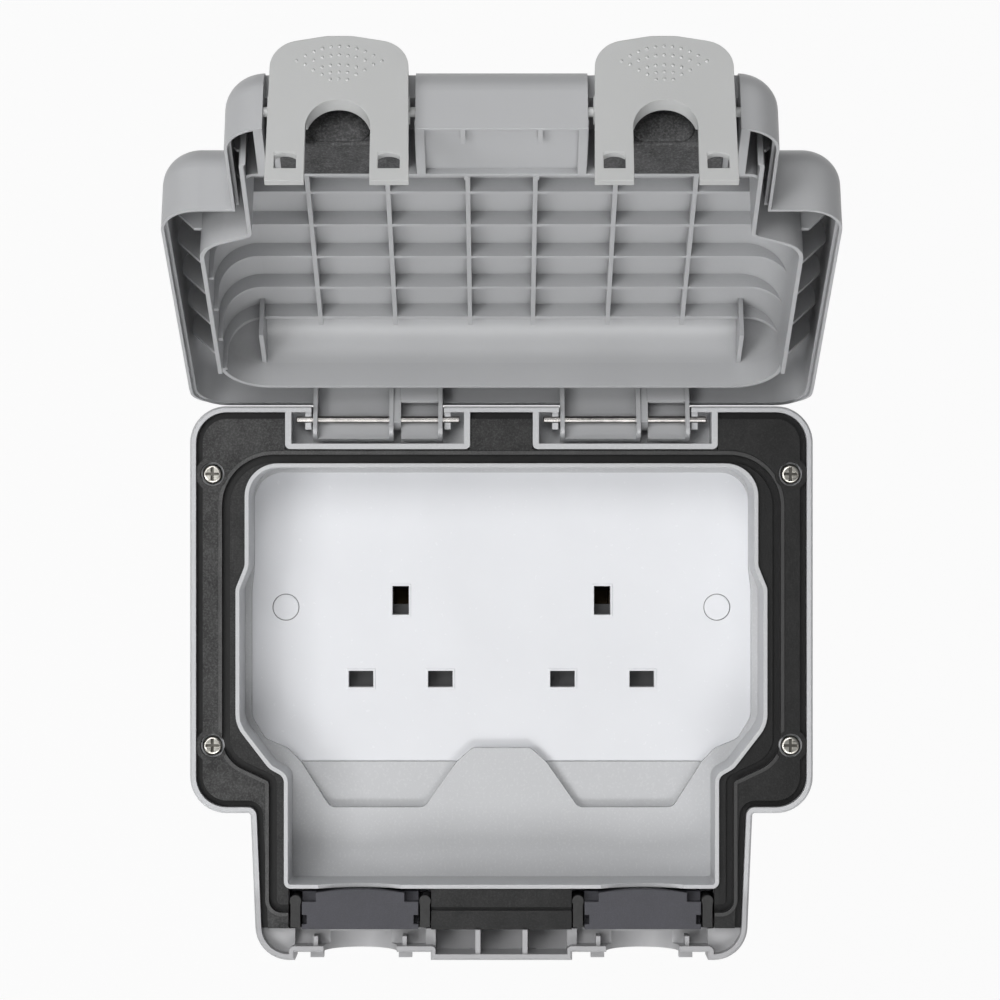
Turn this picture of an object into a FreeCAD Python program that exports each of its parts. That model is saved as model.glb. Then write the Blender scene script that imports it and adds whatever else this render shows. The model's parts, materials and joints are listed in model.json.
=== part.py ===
import FreeCAD, Part

import math
import os
import re

import Sketcher
from FreeCAD import Placement, Rotation, Vector

# Outdoor socket for two plugs, in a sealed enclosure with a lid that opens upwards.
# The wall is the plane y = 0 and the front faces -y. The origin lies on the wall, behind
# the centre of the socket plate. A depth is a distance from the wall towards the front.
# All lengths are in millimetres and all angles in degrees. Where one block is joined to
# another it starts inside it, and a block that is cut away runs on past the open side,
# mostly by one millimetre, so that the two never just touch.

SIZES = {
    # depths from the wall
    "box_depth": 47.0,
    "box_back": 3.0,
    "box_wall": 2.6,
    "box_inset": 1.2,
    "box_seal_thick": 1.2,
    "box_seal_inset": 0.3,
    "box_pillar_radius": 3.7,
    "rim_depth": 62.0,
    "plate_front": 38.0,
    # frame outline
    "half_width": 85.0,
    "top_edge": 55.6,
    "shoulder_drop": 55.5,
    "neck_inset": 16.5,
    "foot_inset": 18.2,
    "foot_drop": 95.6,
    "foot_flat_inset": 28.6,
    "latch_wall_rise": 2.2,
    "corner_round": 10.0,
    "foot_round": 9.2,
    "neck_round": 0.8,
    "rim_wall": 1.6,
    "rim_bevel": 0.5,
    "shelf_depth": 58.0,
    "shelf_thick": 2.0,
    # socket tray
    "tray_top_inset": 14.9,
    "tray_inset": 12.4,
    "tray_below_edge": 15.6,
    "tray_jog_high": 12.0,
    "tray_jog_low": 5.8,
    "tray_turn": 31.5,
    "tray_slant_inset": 21.5,
    "tray_slant_drop": 43.3,
    "tray_neck_inset": 25.6,
    "tray_neck_drop": 45.6,
    "tray_foot_rise": 19.5,
    "tray_wall": 1.1,
    "tray_round": 9.0,
    "tray_jog_round": 4.0,
    "tray_turn_round": 9.0,
    "tray_slant_round": 6.0,
    "tray_neck_round": 2.6,
    "tray_foot_round": 1.9,
    "tray_floor_front": 41.25,
    "tray_rear": 35.6,
    "window_inset": 15.3,
    "window_below_edge": 17.9,
    "window_turn": 30.5,
    "window_slant_inset": 19.0,
    "window_slant_drop": 36.6,
    "window_low_inset": 25.4,
    "window_round": 8.0,
    "window_jog_round": 4.0,
    "window_turn_round": 5.0,
    "window_low_round": 3.0,
    "window_jog_step": 1.0,
    "window_low_drop": 39.3,
    "tongue_half": 8.2,
    "tongue_drop": 39.2,
    "tongue_round": 2.0,
    "recess_inset": 29.1,
    "recess_in": 12.5,
    "recess_low_inset": 37.2,
    "recess_in_low": 21.4,
    "recess_drop": 55.7,
    "recess_step": 0.4,
    "recess_round": 2.6,
    # hinge
    "hinge_half_span": 33.8,
    "hinge_behind_rim": 3.5,
    "hinge_below_edge": 3.6,
    "pin_radius": 1.0,
    "pin_half_length": 22.4,
    "pin_clearance": 0.04,
    "pin_bevel": 0.3,
    "pocket_half": 25.25,
    "pocket_wall": 1.7,
    "pocket_low_wall": 1.5,
    "pocket_round": 1.4,
    "pocket_below_edge": 0.8,
    "pocket_reach": 11.7,
    "pocket_floor_front": 52.2,
    "pocket_floor_thick": 1.6,
    "pocket_gap_half": 18.1,
    "lug_offset": 18.2,
    "lug_thick": 1.7,
    "lug_jaw": 1.7,
    "lug_mouth": 0.82,
    "open_angle": 115.5,
    # lid
    "lid_gap": 0.3,
    "lid_depth": 21.2,
    "lid_skin": 1.6,
    "lid_inset": 0.2,
    "lid_below_edge": 0.3,
    "lid_shoulder": 54.9,
    "lid_neck_inset": 18.6,
    "lid_foot_rise": 2.8,
    "lid_round": 8.6,
    "lid_neck_step": 1.6,
    "lid_neck_round": 10.0,
    "lid_rebate": 0.8,
    "lid_rebate_deep": 2.6,
    "lid_hinge_cut": 2.6,
    "lid_hinge_ramp": 12.0,
    "tub_reach": 2.2,
    "tub_inset": 9.2,
    "tub_below_edge": 13.7,
    "tub_turn": 40.6,
    "tub_neck_inset": 22.0,
    "tub_neck_drop": 46.6,
    "tub_foot_rise": 23.6,
    "seal_wall_foot_rise": 13.4,
    "seal_wall_end_rise": 15.0,
    "tub_wall": 1.1,
    "tub_round": 13.5,
    "tub_soft": 11.4,
    "tub_turn_round": 9.0,
    "tub_neck_round": 1.6,
    "tub_end_round": 3.0,
    "tub_near_rise": 1.1,
    "tub_near_from": 14.5,
    "rib_thick": 1.2,
    "rib_height": 4.0,
    "rib_wrap": 1.2,
    "rib_pitch": 16.5,
    "rib_shift": 4.3,
    "rib_across": 20.2,
    "rib_gather": 1.6,
    "rib_soft": 10.0,
    "rib_run_out": 4.0,
    "side_rib_bevel": 7.0,
    "neck_rib_bevel": 2.0,
    "neck_rib_first_rise": 33.6,
    "neck_rib_next_rise": 20.6,
    "gusset_inset": 20.5,
    "gusset_long": 17.0,
    "gusset_deep": 12.5,
    "ledge_rise": 2.0,
    "ledge_thick": 1.4,
    "ledge_rib_across": 9.2,
    "ledge_rib_long": 6.5,
    "arm_low": 5.0,
    "arm_plate": 1.2,
    "arm_reach": 7.0,
    "arm_outer": 17.7,
    "arm_inner": 3.1,
    "arm_last": 16.5,
    "arm_slot_from": 4.3,
    "arm_slot_to": 6.3,
    "arm_slot_stop": 1.6,
    "arm_slot_deep": 6.0,
    "arm_bridge_rise": 1.2,
    "arm_bridge_thick": 1.2,
    "arm_round": 1.5,
    "arm_below_edge": 5.8,
    # latches
    "latch_inset": 46.4,
    "latch_half": 16.85,
    "latch_thumb_half": 16.4,
    "latch_hook_reach": 16.0,
    "latch_thumb_reach": 23.9,
    "latch_gap": 0.8,
    "latch_thick": 2.2,
    "latch_slot_half": 7.65,
    "latch_slot_top": 6.15,
    "latch_window_half": 2.6,
    "latch_window_low": 12.7,
    "latch_window_high": 8.3,
    "latch_window_offset": 12.15,
    "latch_tab_half": 1.85,
    "latch_tab_play": 0.6,
    "latch_pocket_half": 18.1,
    "latch_pocket_rise": 9.4,
    "latch_pivot_rise": 6.0,
    "latch_pivot_foot_rise": 4.6,
    "latch_pivot_radius": 1.2,
    "latch_pivot_clearance": 0.05,
    "latch_ear": 2.0,
    "latch_ear_half": 2.2,
    "latch_apex": 2.5,
    "latch_apex_half": 3.0,
    "latch_apex_round": 9.0,
    "latch_round": 7.5,
    "latch_collar": 1.2,
    "latch_collar_deep": 2.6,
    "latch_side_play": 1.5,
    "latch_cheek": 2.2,
    "seal_cheek": 1.4,
    "latch_wall_gap": 0.3,
    # cable seals
    "seal_half": 15.9,
    "seal_top_rise": 18.4,
    "seal_foot_rise": 8.4,
    "seal_corner": 3.8,
    "seal_corner_drop": 2.5,
    "seal_notch": 1.3,
    "seal_notch_from": 6.1,
    "seal_notch_to": 8.6,
    "seal_play": 0.3,
    "seal_arch": 0.9,
    "seal_arch_half": 11.8,
    "lid_seal_half": 14.6,
    "lid_seal_rise": 13.0,
    "lid_seal_soft": 0.8,
    "holder_half": 19.3,
    "holder_post": 3.2,
    "holder_floor": 0.9,
    "holder_below_rim": 0.9,
    "holder_bulb_drop": 2.4,
    "seal_floor_gap": 1.2,
    "seal_below_rim": 0.4,
    "seal_step_deep": 4.0,
    "latch_floor_front": 55.0,
    "foot_floor_front": 50.0,
    "centre_wall": 1.3,
    "centre_rib_thick": 1.4,
    "centre_rib_below_rim": 0.6,
    "foot_rib_thick": 1.2,
    "foot_rib_long": 2.6,
    "foot_rib_below_rim": 1.2,
    "cable_notch_half": 10.0,
    "cable_notch_floor": 0.4,
    "tray_notch_round": 17.0,
    "tray_notch_over": 12.6,
    # gasket
    "gasket_play": 0.1,
    "gasket_base": 1.7,
    "gasket_band": 3.2,
    "gasket_bead": 3.6,
    "gasket_inner": 2.6,
    "gasket_bead_wide": 1.0,
    "gasket_band_inset": 1.7,
    "strip_groove_from": 5.1,
    "strip_groove_to": 6.1,
    "groove_play": 0.5,
    # frame screws
    "screw_inset": 6.0,
    "screw_up": 37.1,
    "screw_head_radius": 2.7,
    "screw_radius": 1.75,
    "screw_head_thick": 1.6,
    "screw_head_front": 61.0,
    "screw_well_radius": 3.25,
    "screw_boss_radius": 4.6,
    "screw_reach": 22.0,
    "screw_clearance": 0.05,
    "screw_hole_play": 0.3,
    "screw_dome": 0.9,
    "cross_arm": 1.9,
    "cross_half": 0.42,
    "cross_deep": 1.2,
    # socket plate
    "plate_inset": 12.0,
    "plate_half_height": 43.0,
    "plate_depth": 7.0,
    "plate_skin": 3.0,
    "plate_wall": 2.0,
    "plate_round": 3.0,
    "outlet_across": 28.2,
    "pin_row_gap": 22.0,
    "earth_up": 1.9,
    "live_offset": 11.1,
    "slot_long": 8.05,
    "slot_narrow": 4.6,
    "slot_wide": 6.9,
    "slot_lip": 0.55,
    "slot_lip_rise": 0.15,
    "well_depth": 5.4,
    "well_wall": 1.0,
    "fixing_inset": 24.7,
    "cap_radius": 3.6,
    "cap_thick": 1.4,
    "cap_seat": 0.06,
    "cap_gap": 0.2,
    "cap_bevel": 0.25,
    "fixing_head_radius": 3.2,
    "fixing_head_thick": 2.0,
    "fixing_radius": 1.75,
    "fixing_reach": 16.0,
    "insert_radius": 2.9,
    "insert_length": 10.0,
    "pillar_radius": 5.0,
    # shutters and their springs
    "shutter_thick": 2.1,
    "shutter_play": 0.1,
    "shutter_half": 15.6,
    "shutter_rise": 4.3,
    "shutter_stem_half": 3.2,
    "shutter_stem_gap": 1.2,
    "spring_radius": 0.8,
    "spring_wire": 0.18,
    "spring_turns": 7.0,
    "spring_length": 10.0,
    "spring_ledge_half": 3.0,
    "spring_ledge_thick": 1.4,
    "spring_gap": 0.2,
    # socket housing and contacts
    "housing_half": 54.0,
    "housing_top": 14.0,
    "housing_drop": 30.0,
    "housing_back": 16.0,
    "cover_thick": 2.0,
    "cover_hole_play": 0.2,
    "chamber_half": 4.8,
    "contact_leaf": 0.8,
    "leaf_half": 3.0,
    "leaf_gap_earth": 2.1,
    "leaf_gap_live": 1.8,
    "leaf_rise": 2.6,
    "leaf_short": 1.2,
    "bridge_far": 4.6,
    "bridge_near": 1.0,
    "strap_thick": 0.8,
    "strap_half": 1.6,
    "line_strap_drop": 26.2,
    "neutral_strap_drop": 15.2,
    "neutral_terminal_across": 20.0,
    "earth_terminal_across": 14.0,
    "terminal_size": 7.0,
    "wire_hole_radius": 1.9,
    "small_head_radius": 2.4,
    "small_head_thick": 1.4,
    "terminal_screw_radius": 1.7,
    "housing_screw_radius": 1.4,
    "housing_head_radius": 2.6,
    "housing_head_thick": 1.5,
    "housing_post_across": 48.5,
    "housing_post_up": 7.0,
    "housing_post_half": 3.0,
    # box fittings
    "wall_hole_across": 55.0,
    "wall_hole_up": 30.0,
    "wall_hole_radius": 2.6,
    "entry_radius": 10.1,
    "entry_boss": 3.0,
    "entry_boss_length": 5.0,
    "entry_depth": 24.0,
    "plug_clearance": 0.05,
    "plug_recess": 1.6,
    "plug_slot_half": 0.6,
    "plug_slot_long": 4.0,
    "plug_slot_deep": 1.0,
    "earth_block_inset": 29.0,
    "earth_block_rise": 33.6,
    "earth_block_half": 4.0,
    "earth_block_deep": 8.0,
    "earth_seat_half": 6.0,
    "earth_seat_rise": 1.5,
    "earth_screw_radius": 1.5,
}

# Sizes that hang on others, so that the pieces stay together when a size changes
TIED = {
    "neck_half": "half_width - neck_inset",
    "foot_half": "half_width - foot_inset",
    "foot_flat": "half_width - foot_flat_inset",
    "tray_half_top": "half_width - tray_top_inset",
    "tray_half": "half_width - tray_inset",
    "tray_slant_half": "half_width - tray_slant_inset",
    "tray_neck_half": "half_width - tray_neck_inset",
    "window_half": "half_width - window_inset",
    "window_slant_half": "half_width - window_slant_inset",
    "window_low_half": "half_width - window_low_inset",
    "recess_out": "half_width - recess_inset",
    "recess_out_low": "half_width - recess_low_inset",
    "lid_half": "half_width - lid_inset",
    "lid_neck_half": "half_width - lid_neck_inset",
    "tub_half": "half_width - tub_inset",
    "tub_neck_half": "half_width - tub_neck_inset",
    "gusset_across": "half_width - gusset_inset",
    "screw_across": "half_width - screw_inset",
    "plate_half": "half_width - plate_inset",
    "fixing_across": "half_width - fixing_inset",
    "latch_centre": "half_width - latch_inset",
    "lip_half": "latch_centre - holder_half",
    "centre_rib_across": "lip_half / 3",
    "earth_block_across": "half_width - earth_block_inset",
    "tray_top": "top_edge - tray_below_edge",
    "window_top": "top_edge - window_below_edge",
    "hinge_up": "top_edge - hinge_below_edge",
    "pocket_low": "top_edge - pocket_reach",
    "lid_top": "top_edge - lid_below_edge",
    "tub_top": "top_edge - tub_below_edge",
    "arm_lower_edge": "top_edge - arm_below_edge",
    "latch_wall_drop": "foot_drop - latch_wall_rise",
    "tray_drop": "foot_drop - tray_foot_rise",
    "lid_drop": "foot_drop - lid_foot_rise",
    "tub_drop": "foot_drop - tub_foot_rise",
    "seal_wall_drop": "foot_drop - seal_wall_foot_rise",
    "seal_wall_end": "foot_drop - seal_wall_end_rise",
    "neck_rib_first": "foot_drop - neck_rib_first_rise",
    "neck_rib_next": "foot_drop - neck_rib_next_rise",
    "latch_pocket_drop": "foot_drop - latch_pocket_rise",
    "latch_pivot_drop": "foot_drop - latch_pivot_foot_rise",
    "seal_top": "foot_drop - seal_top_rise",
    "seal_drop": "foot_drop - seal_foot_rise",
    "earth_block_drop": "foot_drop - earth_block_rise",
}

doc = FreeCAD.newDocument("outdoor_socket")
sheet = doc.addObject("Spreadsheet::Sheet", "sizes")
for row, (alias, value) in enumerate(SIZES.items(), 1):
    sheet.set(f"A{row}", alias)
    sheet.set(f"B{row}", str(value))
    sheet.setAlias(f"B{row}", alias)
doc.recompute()

NODES = []


def untied(text):
    """Writes each tied size in a formula as the sizes that it hangs on."""
    def spelt(found):
        name = found.group(0)
        return f"({untied(TIED[name])})" if name in TIED else name
    return re.sub(r"[a-z][a-z_]+", spelt, text)


def bound(text):
    """Turns a formula of size names into one that reads the sheet."""
    return re.sub(r"[a-z][a-z_]+", lambda found: "sizes." + found.group(0), untied(text))


def size(text):
    """The value of a formula of size names."""
    return float(sheet.evalExpression(f"1.0 * ({untied(text)})"))


def bind(item, prop, text):
    """Ties one property of an object to a formula of size names."""
    item.setExpression(prop, bound(text))


def place(item, x="0", depth="0", z="0"):
    """Moves an object to x, a depth and z, all formulas."""
    bind(item, "Placement.Base.x", x)
    bind(item, "Placement.Base.y", f"-({depth})")
    bind(item, "Placement.Base.z", z)
    return item


def box(name, x, depth, z):
    """A block between two formulas along each axis."""
    block = doc.addObject("Part::Box", name)
    bind(block, "Length", f"({x[1]}) - ({x[0]})")
    bind(block, "Width", f"({depth[1]}) - ({depth[0]})")
    bind(block, "Height", f"({z[1]}) - ({z[0]})")
    return place(block, x[0], depth[1], z[0])


TURNS = {
    "front": Rotation(Vector(1, 0, 0), 90),
    "right": Rotation(Vector(0, 1, 0), 90),
    "up": Rotation(),
}


def ramp(name, x, depth, z_back, z_front):
    """A block whose height differs between its back and its front, so that its flanks slope."""
    wedge = doc.addObject("Part::Wedge", name)
    bind(wedge, "Xmin", x[0])
    bind(wedge, "Xmax", x[1])
    bind(wedge, "X2min", x[0])
    bind(wedge, "X2max", x[1])
    bind(wedge, "Ymin", f"-({depth[1]})")
    bind(wedge, "Ymax", f"-({depth[0]})")
    bind(wedge, "Zmin", z_front[0])
    bind(wedge, "Zmax", z_front[1])
    bind(wedge, "Z2min", z_back[0])
    bind(wedge, "Z2max", z_back[1])
    return wedge


def rod(name, radius, length, heading, x="0", depth="0", z="0"):
    """A round bar that starts at a point and runs towards the front, the right or up."""
    bar = doc.addObject("Part::Cylinder", name)
    bind(bar, "Radius", radius)
    bind(bar, "Height", length)
    bar.Placement = Placement(Vector(), TURNS[heading])
    return place(bar, x, depth, z)


def join(name, *pieces):
    """All the pieces as one solid."""
    fused = doc.addObject("Part::MultiFuse", name)
    fused.Shapes = list(pieces)
    return fused


def shared(name, *pieces):
    """What all the pieces have in common."""
    both = doc.addObject("Part::MultiCommon", name)
    both.Shapes = list(pieces)
    return both


def cut(name, base, *tools):
    """The base without the tools."""
    rest = doc.addObject("Part::Cut", name)
    rest.Base = base
    rest.Tool = tools[0] if len(tools) == 1 else join(name + "_tools", *tools)
    return rest


def group(name, solids):
    """Several solids kept as one object."""
    pieces = doc.addObject("Part::Compound", name)
    pieces.Links = solids
    return pieces


def mirrored(name, source):
    """The same shape on the other side of the middle."""
    copy = doc.addObject("Part::Mirroring", name)
    copy.Source = source
    copy.Normal = Vector(1, 0, 0)
    return copy


def corner_points(corners):
    """Where each rounded corner starts and ends, its centre, and whether it turns left."""
    result = []
    count = len(corners)
    for index in range(count):
        before, here, after = (Vector(*corners[(index + step) % count][:2], 0) for step in (-1, 0, 1))
        radius = corners[index][2]
        if not radius:
            result.append((here, here, None, True))
            continue
        come = (here - before).normalize()
        leave = (after - here).normalize()
        turn = math.acos(max(-1.0, min(1.0, come.dot(leave))))
        left = come.x * leave.y - come.y * leave.x > 0
        run = radius * math.tan(turn / 2)
        start, end = here - come * run, here + leave * run
        side = Vector(-come.y, come.x, 0) if left else Vector(come.y, -come.x, 0)
        result.append((start, end, start + side * radius, left))
    return result


def fix_point(sketch, geometry, position, along, value, formula):
    """Ties one point to a distance from the origin, on whichever side it lies."""
    if abs(value) < 1e-9:
        axis = -2 if along == "DistanceX" else -1
        sketch.addConstraint(Sketcher.Constraint("PointOnObject", geometry, position, axis))
        return
    if value > 0:
        row = sketch.addConstraint(Sketcher.Constraint(along, -1, 1, geometry, position, value))
        sketch.setExpression(f"Constraints[{row}]", bound(formula))
    else:
        row = sketch.addConstraint(Sketcher.Constraint(along, geometry, position, -1, 1, -value))
        sketch.setExpression(f"Constraints[{row}]", bound(f"-({formula})"))


def outline(name, formulas, symmetric=True, facing="front"):
    """A closed outline seen from the front or from above, its corners rounded, all bound to the sheet.
    With symmetric, the corners given are the right half from the top down."""
    if symmetric:
        left = [(f"-({x})", z, radius) for x, z, radius in reversed(formulas)]
        formulas = list(formulas) + left
    corners = [(size(x), size(z), size(radius) if radius else 0) for x, z, radius in formulas]
    sketch = doc.addObject("Sketcher::SketchObject", name)
    sketch.Placement = Placement(Vector(), TURNS[facing])
    points = corner_points(corners)
    count = len(corners)
    lines = []
    for index in range(count):
        segment = Part.LineSegment(points[index][1], points[(index + 1) % count][0])
        lines.append(sketch.addGeometry(segment, False))
    for index, (start, end, centre, left) in enumerate(points):
        before, after = lines[index - 1], lines[index]
        x_text, z_text, radius_text = formulas[index]
        x, z, radius = corners[index]
        if centre is None:
            sketch.addConstraint(Sketcher.Constraint("Coincident", before, 2, after, 1))
            fix_point(sketch, after, 1, "DistanceX", x, x_text)
            fix_point(sketch, after, 1, "DistanceY", z, z_text)
            continue
        first = math.atan2(start.y - centre.y, start.x - centre.x)
        last = math.atan2(end.y - centre.y, end.x - centre.x)
        circle = Part.Circle(centre, Vector(0, 0, 1), radius)
        arc = Part.ArcOfCircle(circle, first, last) if left else Part.ArcOfCircle(circle, last, first)
        curve = sketch.addGeometry(arc, False)
        tip = sketch.addGeometry(Part.Point(Vector(x, z, 0)), True)
        sketch.addConstraint(Sketcher.Constraint("Tangent", before, 2, curve, 1 if left else 2))
        sketch.addConstraint(Sketcher.Constraint("Tangent", curve, 2 if left else 1, after, 1))
        sketch.addConstraint(Sketcher.Constraint("PointOnObject", tip, 1, before))
        sketch.addConstraint(Sketcher.Constraint("PointOnObject", tip, 1, after))
        row = sketch.addConstraint(Sketcher.Constraint("Radius", curve, radius))
        sketch.setExpression(f"Constraints[{row}]", bound(radius_text))
        fix_point(sketch, tip, 1, "DistanceX", x, x_text)
        fix_point(sketch, tip, 1, "DistanceY", z, z_text)
    return sketch


def grown(name, source, amount):
    """An outline moved outwards, or inwards where the amount is below nought."""
    wider = doc.addObject("Part::Offset2D", name)
    wider.Source = source
    bind(wider, "Value", amount)
    return wider


def slab(name, source, back, front):
    """An outline filled between two depths."""
    plate = doc.addObject("Part::Extrusion", name)
    plate.Base = source
    plate.DirMode = "Custom"
    plate.Dir = Vector(0, -1, 0)
    plate.Solid = True
    bind(plate, "LengthFwd", front)
    bind(plate, "LengthRev", f"-({back})")
    return plate


def plank(name, source, low, high):
    """An outline seen from above, filled between two heights."""
    plate = doc.addObject("Part::Extrusion", name)
    plate.Base = source
    plate.DirMode = "Custom"
    plate.Dir = Vector(0, 0, 1)
    plate.Solid = True
    bind(plate, "LengthFwd", high)
    bind(plate, "LengthRev", f"-({low})")
    return plate


def rounded(name, source, radius, chosen):
    """Rounds the edges that the test chooses."""
    doc.recompute()
    return edge_work("Part::Fillet", name, source, size(radius), chosen)


def bevelled(name, source, width, chosen):
    """Bevels the edges that the test chooses."""
    doc.recompute()
    return edge_work("Part::Chamfer", name, source, size(width), chosen)


def edge_work(kind, name, source, amount, chosen):
    """One amount taken off every edge that the test chooses."""
    worked = doc.addObject(kind, name)
    worked.Base = source
    edges = enumerate(source.Shape.Edges, 1)
    worked.Edges = [(number, amount, amount) for number, edge in edges if chosen(edge)]
    return worked


def edge_runs(edge, axis):
    """Whether an edge is straight and runs along one axis."""
    if len(edge.Vertexes) < 2 or edge.Curve.TypeId != "Part::GeomLine":
        return False
    run = edge.Vertexes[1].Point - edge.Vertexes[0].Point
    return abs(getattr(run, axis)) > 0.999 * run.Length


def edge_depth(edge):
    """How far in front of the wall the middle of an edge lies."""
    return -edge.CenterOfMass.y


def node(name, item):
    """Keeps an object as one of the part's pieces, under its own name."""
    item.Label = name
    NODES.append(item)
    return item


def swung(item):
    """Turns a piece of the lid about the hinge to the open position."""
    hinge = f"vector(0; {bound('-rim_depth + hinge_behind_rim')}; {bound('hinge_up')})"
    turn = f"rotation(vector(-1; 0; 0); {bound('open_angle')})"
    item.setExpression("Placement", f"placement(vector(0; 0; 0); {turn}; {hinge})")
    return item


# Outlines that several pieces share

base_plan = outline("base_plan", [
    ("half_width", "top_edge", "corner_round"),
    ("half_width", "-shoulder_drop", "corner_round"),
    ("neck_half", "-shoulder_drop", "neck_round"),
    ("foot_half", "-foot_drop", "foot_round"),
    ("foot_flat", "-foot_drop", None),
    ("foot_flat", "-latch_wall_drop", None),
    ("lip_half", "-latch_wall_drop", None),
    ("lip_half", "-foot_drop", None),
])
box_plan = outline("box_plan", [
    ("half_width - box_inset", "top_edge - box_inset", "corner_round - box_inset"),
    ("half_width - box_inset", "-shoulder_drop + box_inset", "corner_round - box_inset"),
    ("neck_half - box_inset", "-shoulder_drop + box_inset", "neck_round + box_inset"),
    ("foot_half - box_inset", "-latch_wall_drop + box_inset", "foot_round - box_inset"),
])
tray_plan = outline("tray_plan", [
    ("tray_half_top", "tray_top", "tray_round"),
    ("tray_half_top", "tray_jog_high", "tray_jog_round"),
    ("tray_half", "tray_jog_low", "tray_jog_round"),
    ("tray_half", "-tray_turn", "tray_turn_round"),
    ("tray_slant_half", "-tray_slant_drop", "tray_slant_round"),
    ("tray_neck_half", "-tray_neck_drop", "tray_neck_round"),
    ("tray_neck_half", "-tray_drop", "tray_foot_round"),
])
tub_plan = outline("tub_plan", [
    ("tub_half", "tub_top", "tub_round"),
    ("tub_half", "-tub_turn", "tub_turn_round"),
    ("tub_neck_half", "-tub_neck_drop", "tub_neck_round"),
    ("tub_neck_half", "-tub_drop", "tub_end_round"),
])
frame_inside_plan = grown("frame_inside_plan", base_plan, "-rim_wall")
tray_inside_plan = grown("tray_inside_plan", tray_plan, "-tray_wall")
seal_wall_plan = outline("seal_wall_plan", [
    ("tub_half", "tub_top", "tub_round"),
    ("tub_half", "-tub_turn", "tub_turn_round"),
    ("tub_neck_half", "-tub_neck_drop", "tub_neck_round"),
    ("tub_neck_half", "-seal_wall_drop", "tub_end_round"),
])
seal_wall_inside_plan = grown("seal_wall_inside_plan", seal_wall_plan, "-tub_wall")
box_inside_plan = grown("box_inside_plan", box_plan, "-box_wall")

# Names for depths and places that come up often

FRAME_BACK = "box_depth + box_seal_thick"
SHELF_BACK = "shelf_depth - shelf_thick"
HINGE_DEPTH = "rim_depth - hinge_behind_rim"
PLATE_BACK = "plate_front - plate_depth"
HOUSING_FRONT = "plate_front - well_depth - shutter_thick - 2 * shutter_play"
LIVE_UP = "earth_up - pin_row_gap"
TERMINAL_BACK = "housing_back - strap_thick - terminal_size"
COVER_BACK = "housing_back - strap_thick - cover_thick"
SPRING_FOOT = f"{LIVE_UP} - shutter_rise - spring_length"
SIDES = (("left", "-", -1), ("right", "", 1))
ENDS = (("a", "-"), ("b", "+"))
LEVELS = (("top", "screw_up"), ("low", "-screw_up"))
HOUSING_POSTS = (("left", "-housing_post_across"), ("middle", "0"), ("right", "housing_post_across"))


def make_back_box():
    """The box on the wall, with its pillars, fixing holes and cable entries."""
    outer = slab("box_outer", box_plan, "0", "box_depth")
    hollow = slab("box_hollow", box_inside_plan, "box_back", "box_depth + 1")
    shell = cut("box_shell", outer, hollow)
    solids = [shell]
    holes = []
    for side, sign, _ in SIDES:
        for level, up in LEVELS:
            x = f"{sign}screw_across"
            solids.append(rod(f"screw_pillar_{level}_{side}", "box_pillar_radius",
                              "box_depth - 1", "front", x, "1", up))
            holes.append(rod(f"screw_bore_{level}_{side}", "screw_radius + screw_clearance",
                             "screw_reach + 3", "front", x, "box_depth - screw_reach - 2", up))
        x = f"{sign}fixing_across"
        solids.append(rod(f"plate_pillar_{side}", "pillar_radius", f"{PLATE_BACK} - 1", "front", x, "1"))
        holes.append(rod(f"insert_bore_{side}", "insert_radius", "fixing_reach + 3", "front", x,
                         f"{PLATE_BACK} - fixing_reach - 2"))
        for level, up in (("top", "wall_hole_up"), ("low", "-wall_hole_up")):
            holes.append(rod(f"wall_hole_{level}_{side}", "wall_hole_radius", "box_back + 2", "front",
                             f"{sign}wall_hole_across", "-1", up))
    for side, start, bury in (("right", "half_width - box_inset - entry_boss_length", "0"),
                              ("left", "-(half_width - box_inset)", "1")):
        solids.append(rod(f"entry_boss_{side}", "entry_radius + entry_boss", "entry_boss_length - 1", "right",
                          f"{start} + {bury}", "entry_depth"))
        holes.append(rod(f"entry_bore_{side}", "entry_radius", "entry_boss_length + 2", "right",
                         f"{start} - 1", "entry_depth"))
    top = "top_edge - box_inset - entry_boss_length"
    solids.append(rod("entry_boss_top", "entry_radius + entry_boss", "entry_boss_length - 1", "up",
                      "0", "entry_depth", top))
    holes.append(rod("entry_bore_top", "entry_radius", "entry_boss_length + 2", "up",
                     "0", "entry_depth", f"{top} - 1"))
    solids.append(box("earth_seat",
                      ("earth_block_across - earth_block_half", "earth_block_across + earth_block_half"),
                      ("1", "box_back + earth_seat_rise"),
                      ("-earth_block_drop - earth_seat_half", "-earth_block_drop + earth_seat_half")))
    return node("back_box", cut("back_box_solid", join("back_box_body", *solids), *holes))


def make_box_seal():
    """The flat seal between the box and the frame."""
    wide = grown("seal_ring_out", box_plan, "-box_seal_inset")
    narrow = grown("seal_ring_in", box_plan, "-box_wall + box_seal_inset")
    ring = cut("box_seal_ring", slab("box_seal_wide", wide, "box_depth", FRAME_BACK),
               slab("box_seal_hole", narrow, "box_depth - 1", f"{FRAME_BACK} + 1"))
    return node("box_seal", ring)


def make_entry_plugs():
    """Blanking plugs in the two side entries of the box, each with a slot for a screwdriver."""
    face = "half_width - box_inset"
    plugs = []
    for side, start, slot_at in (
            ("right", f"{face} - entry_boss_length + plug_recess", f"{face} - plug_slot_deep"),
            ("left", f"-({face})", f"-({face}) - plug_slot_deep")):
        plug = rod(f"plug_barrel_{side}", "entry_radius - plug_clearance", "entry_boss_length - plug_recess",
                   "right", start, "entry_depth")
        slot = box(f"plug_slot_{side}", (slot_at, f"{slot_at} + 2 * plug_slot_deep"),
                   ("entry_depth - plug_slot_half", "entry_depth + plug_slot_half"),
                   ("-plug_slot_long", "plug_slot_long"))
        plugs.append(cut(f"plug_{side}", plug, slot))
    return node("entry_plugs", group("entry_plug_pair", plugs))


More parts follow.
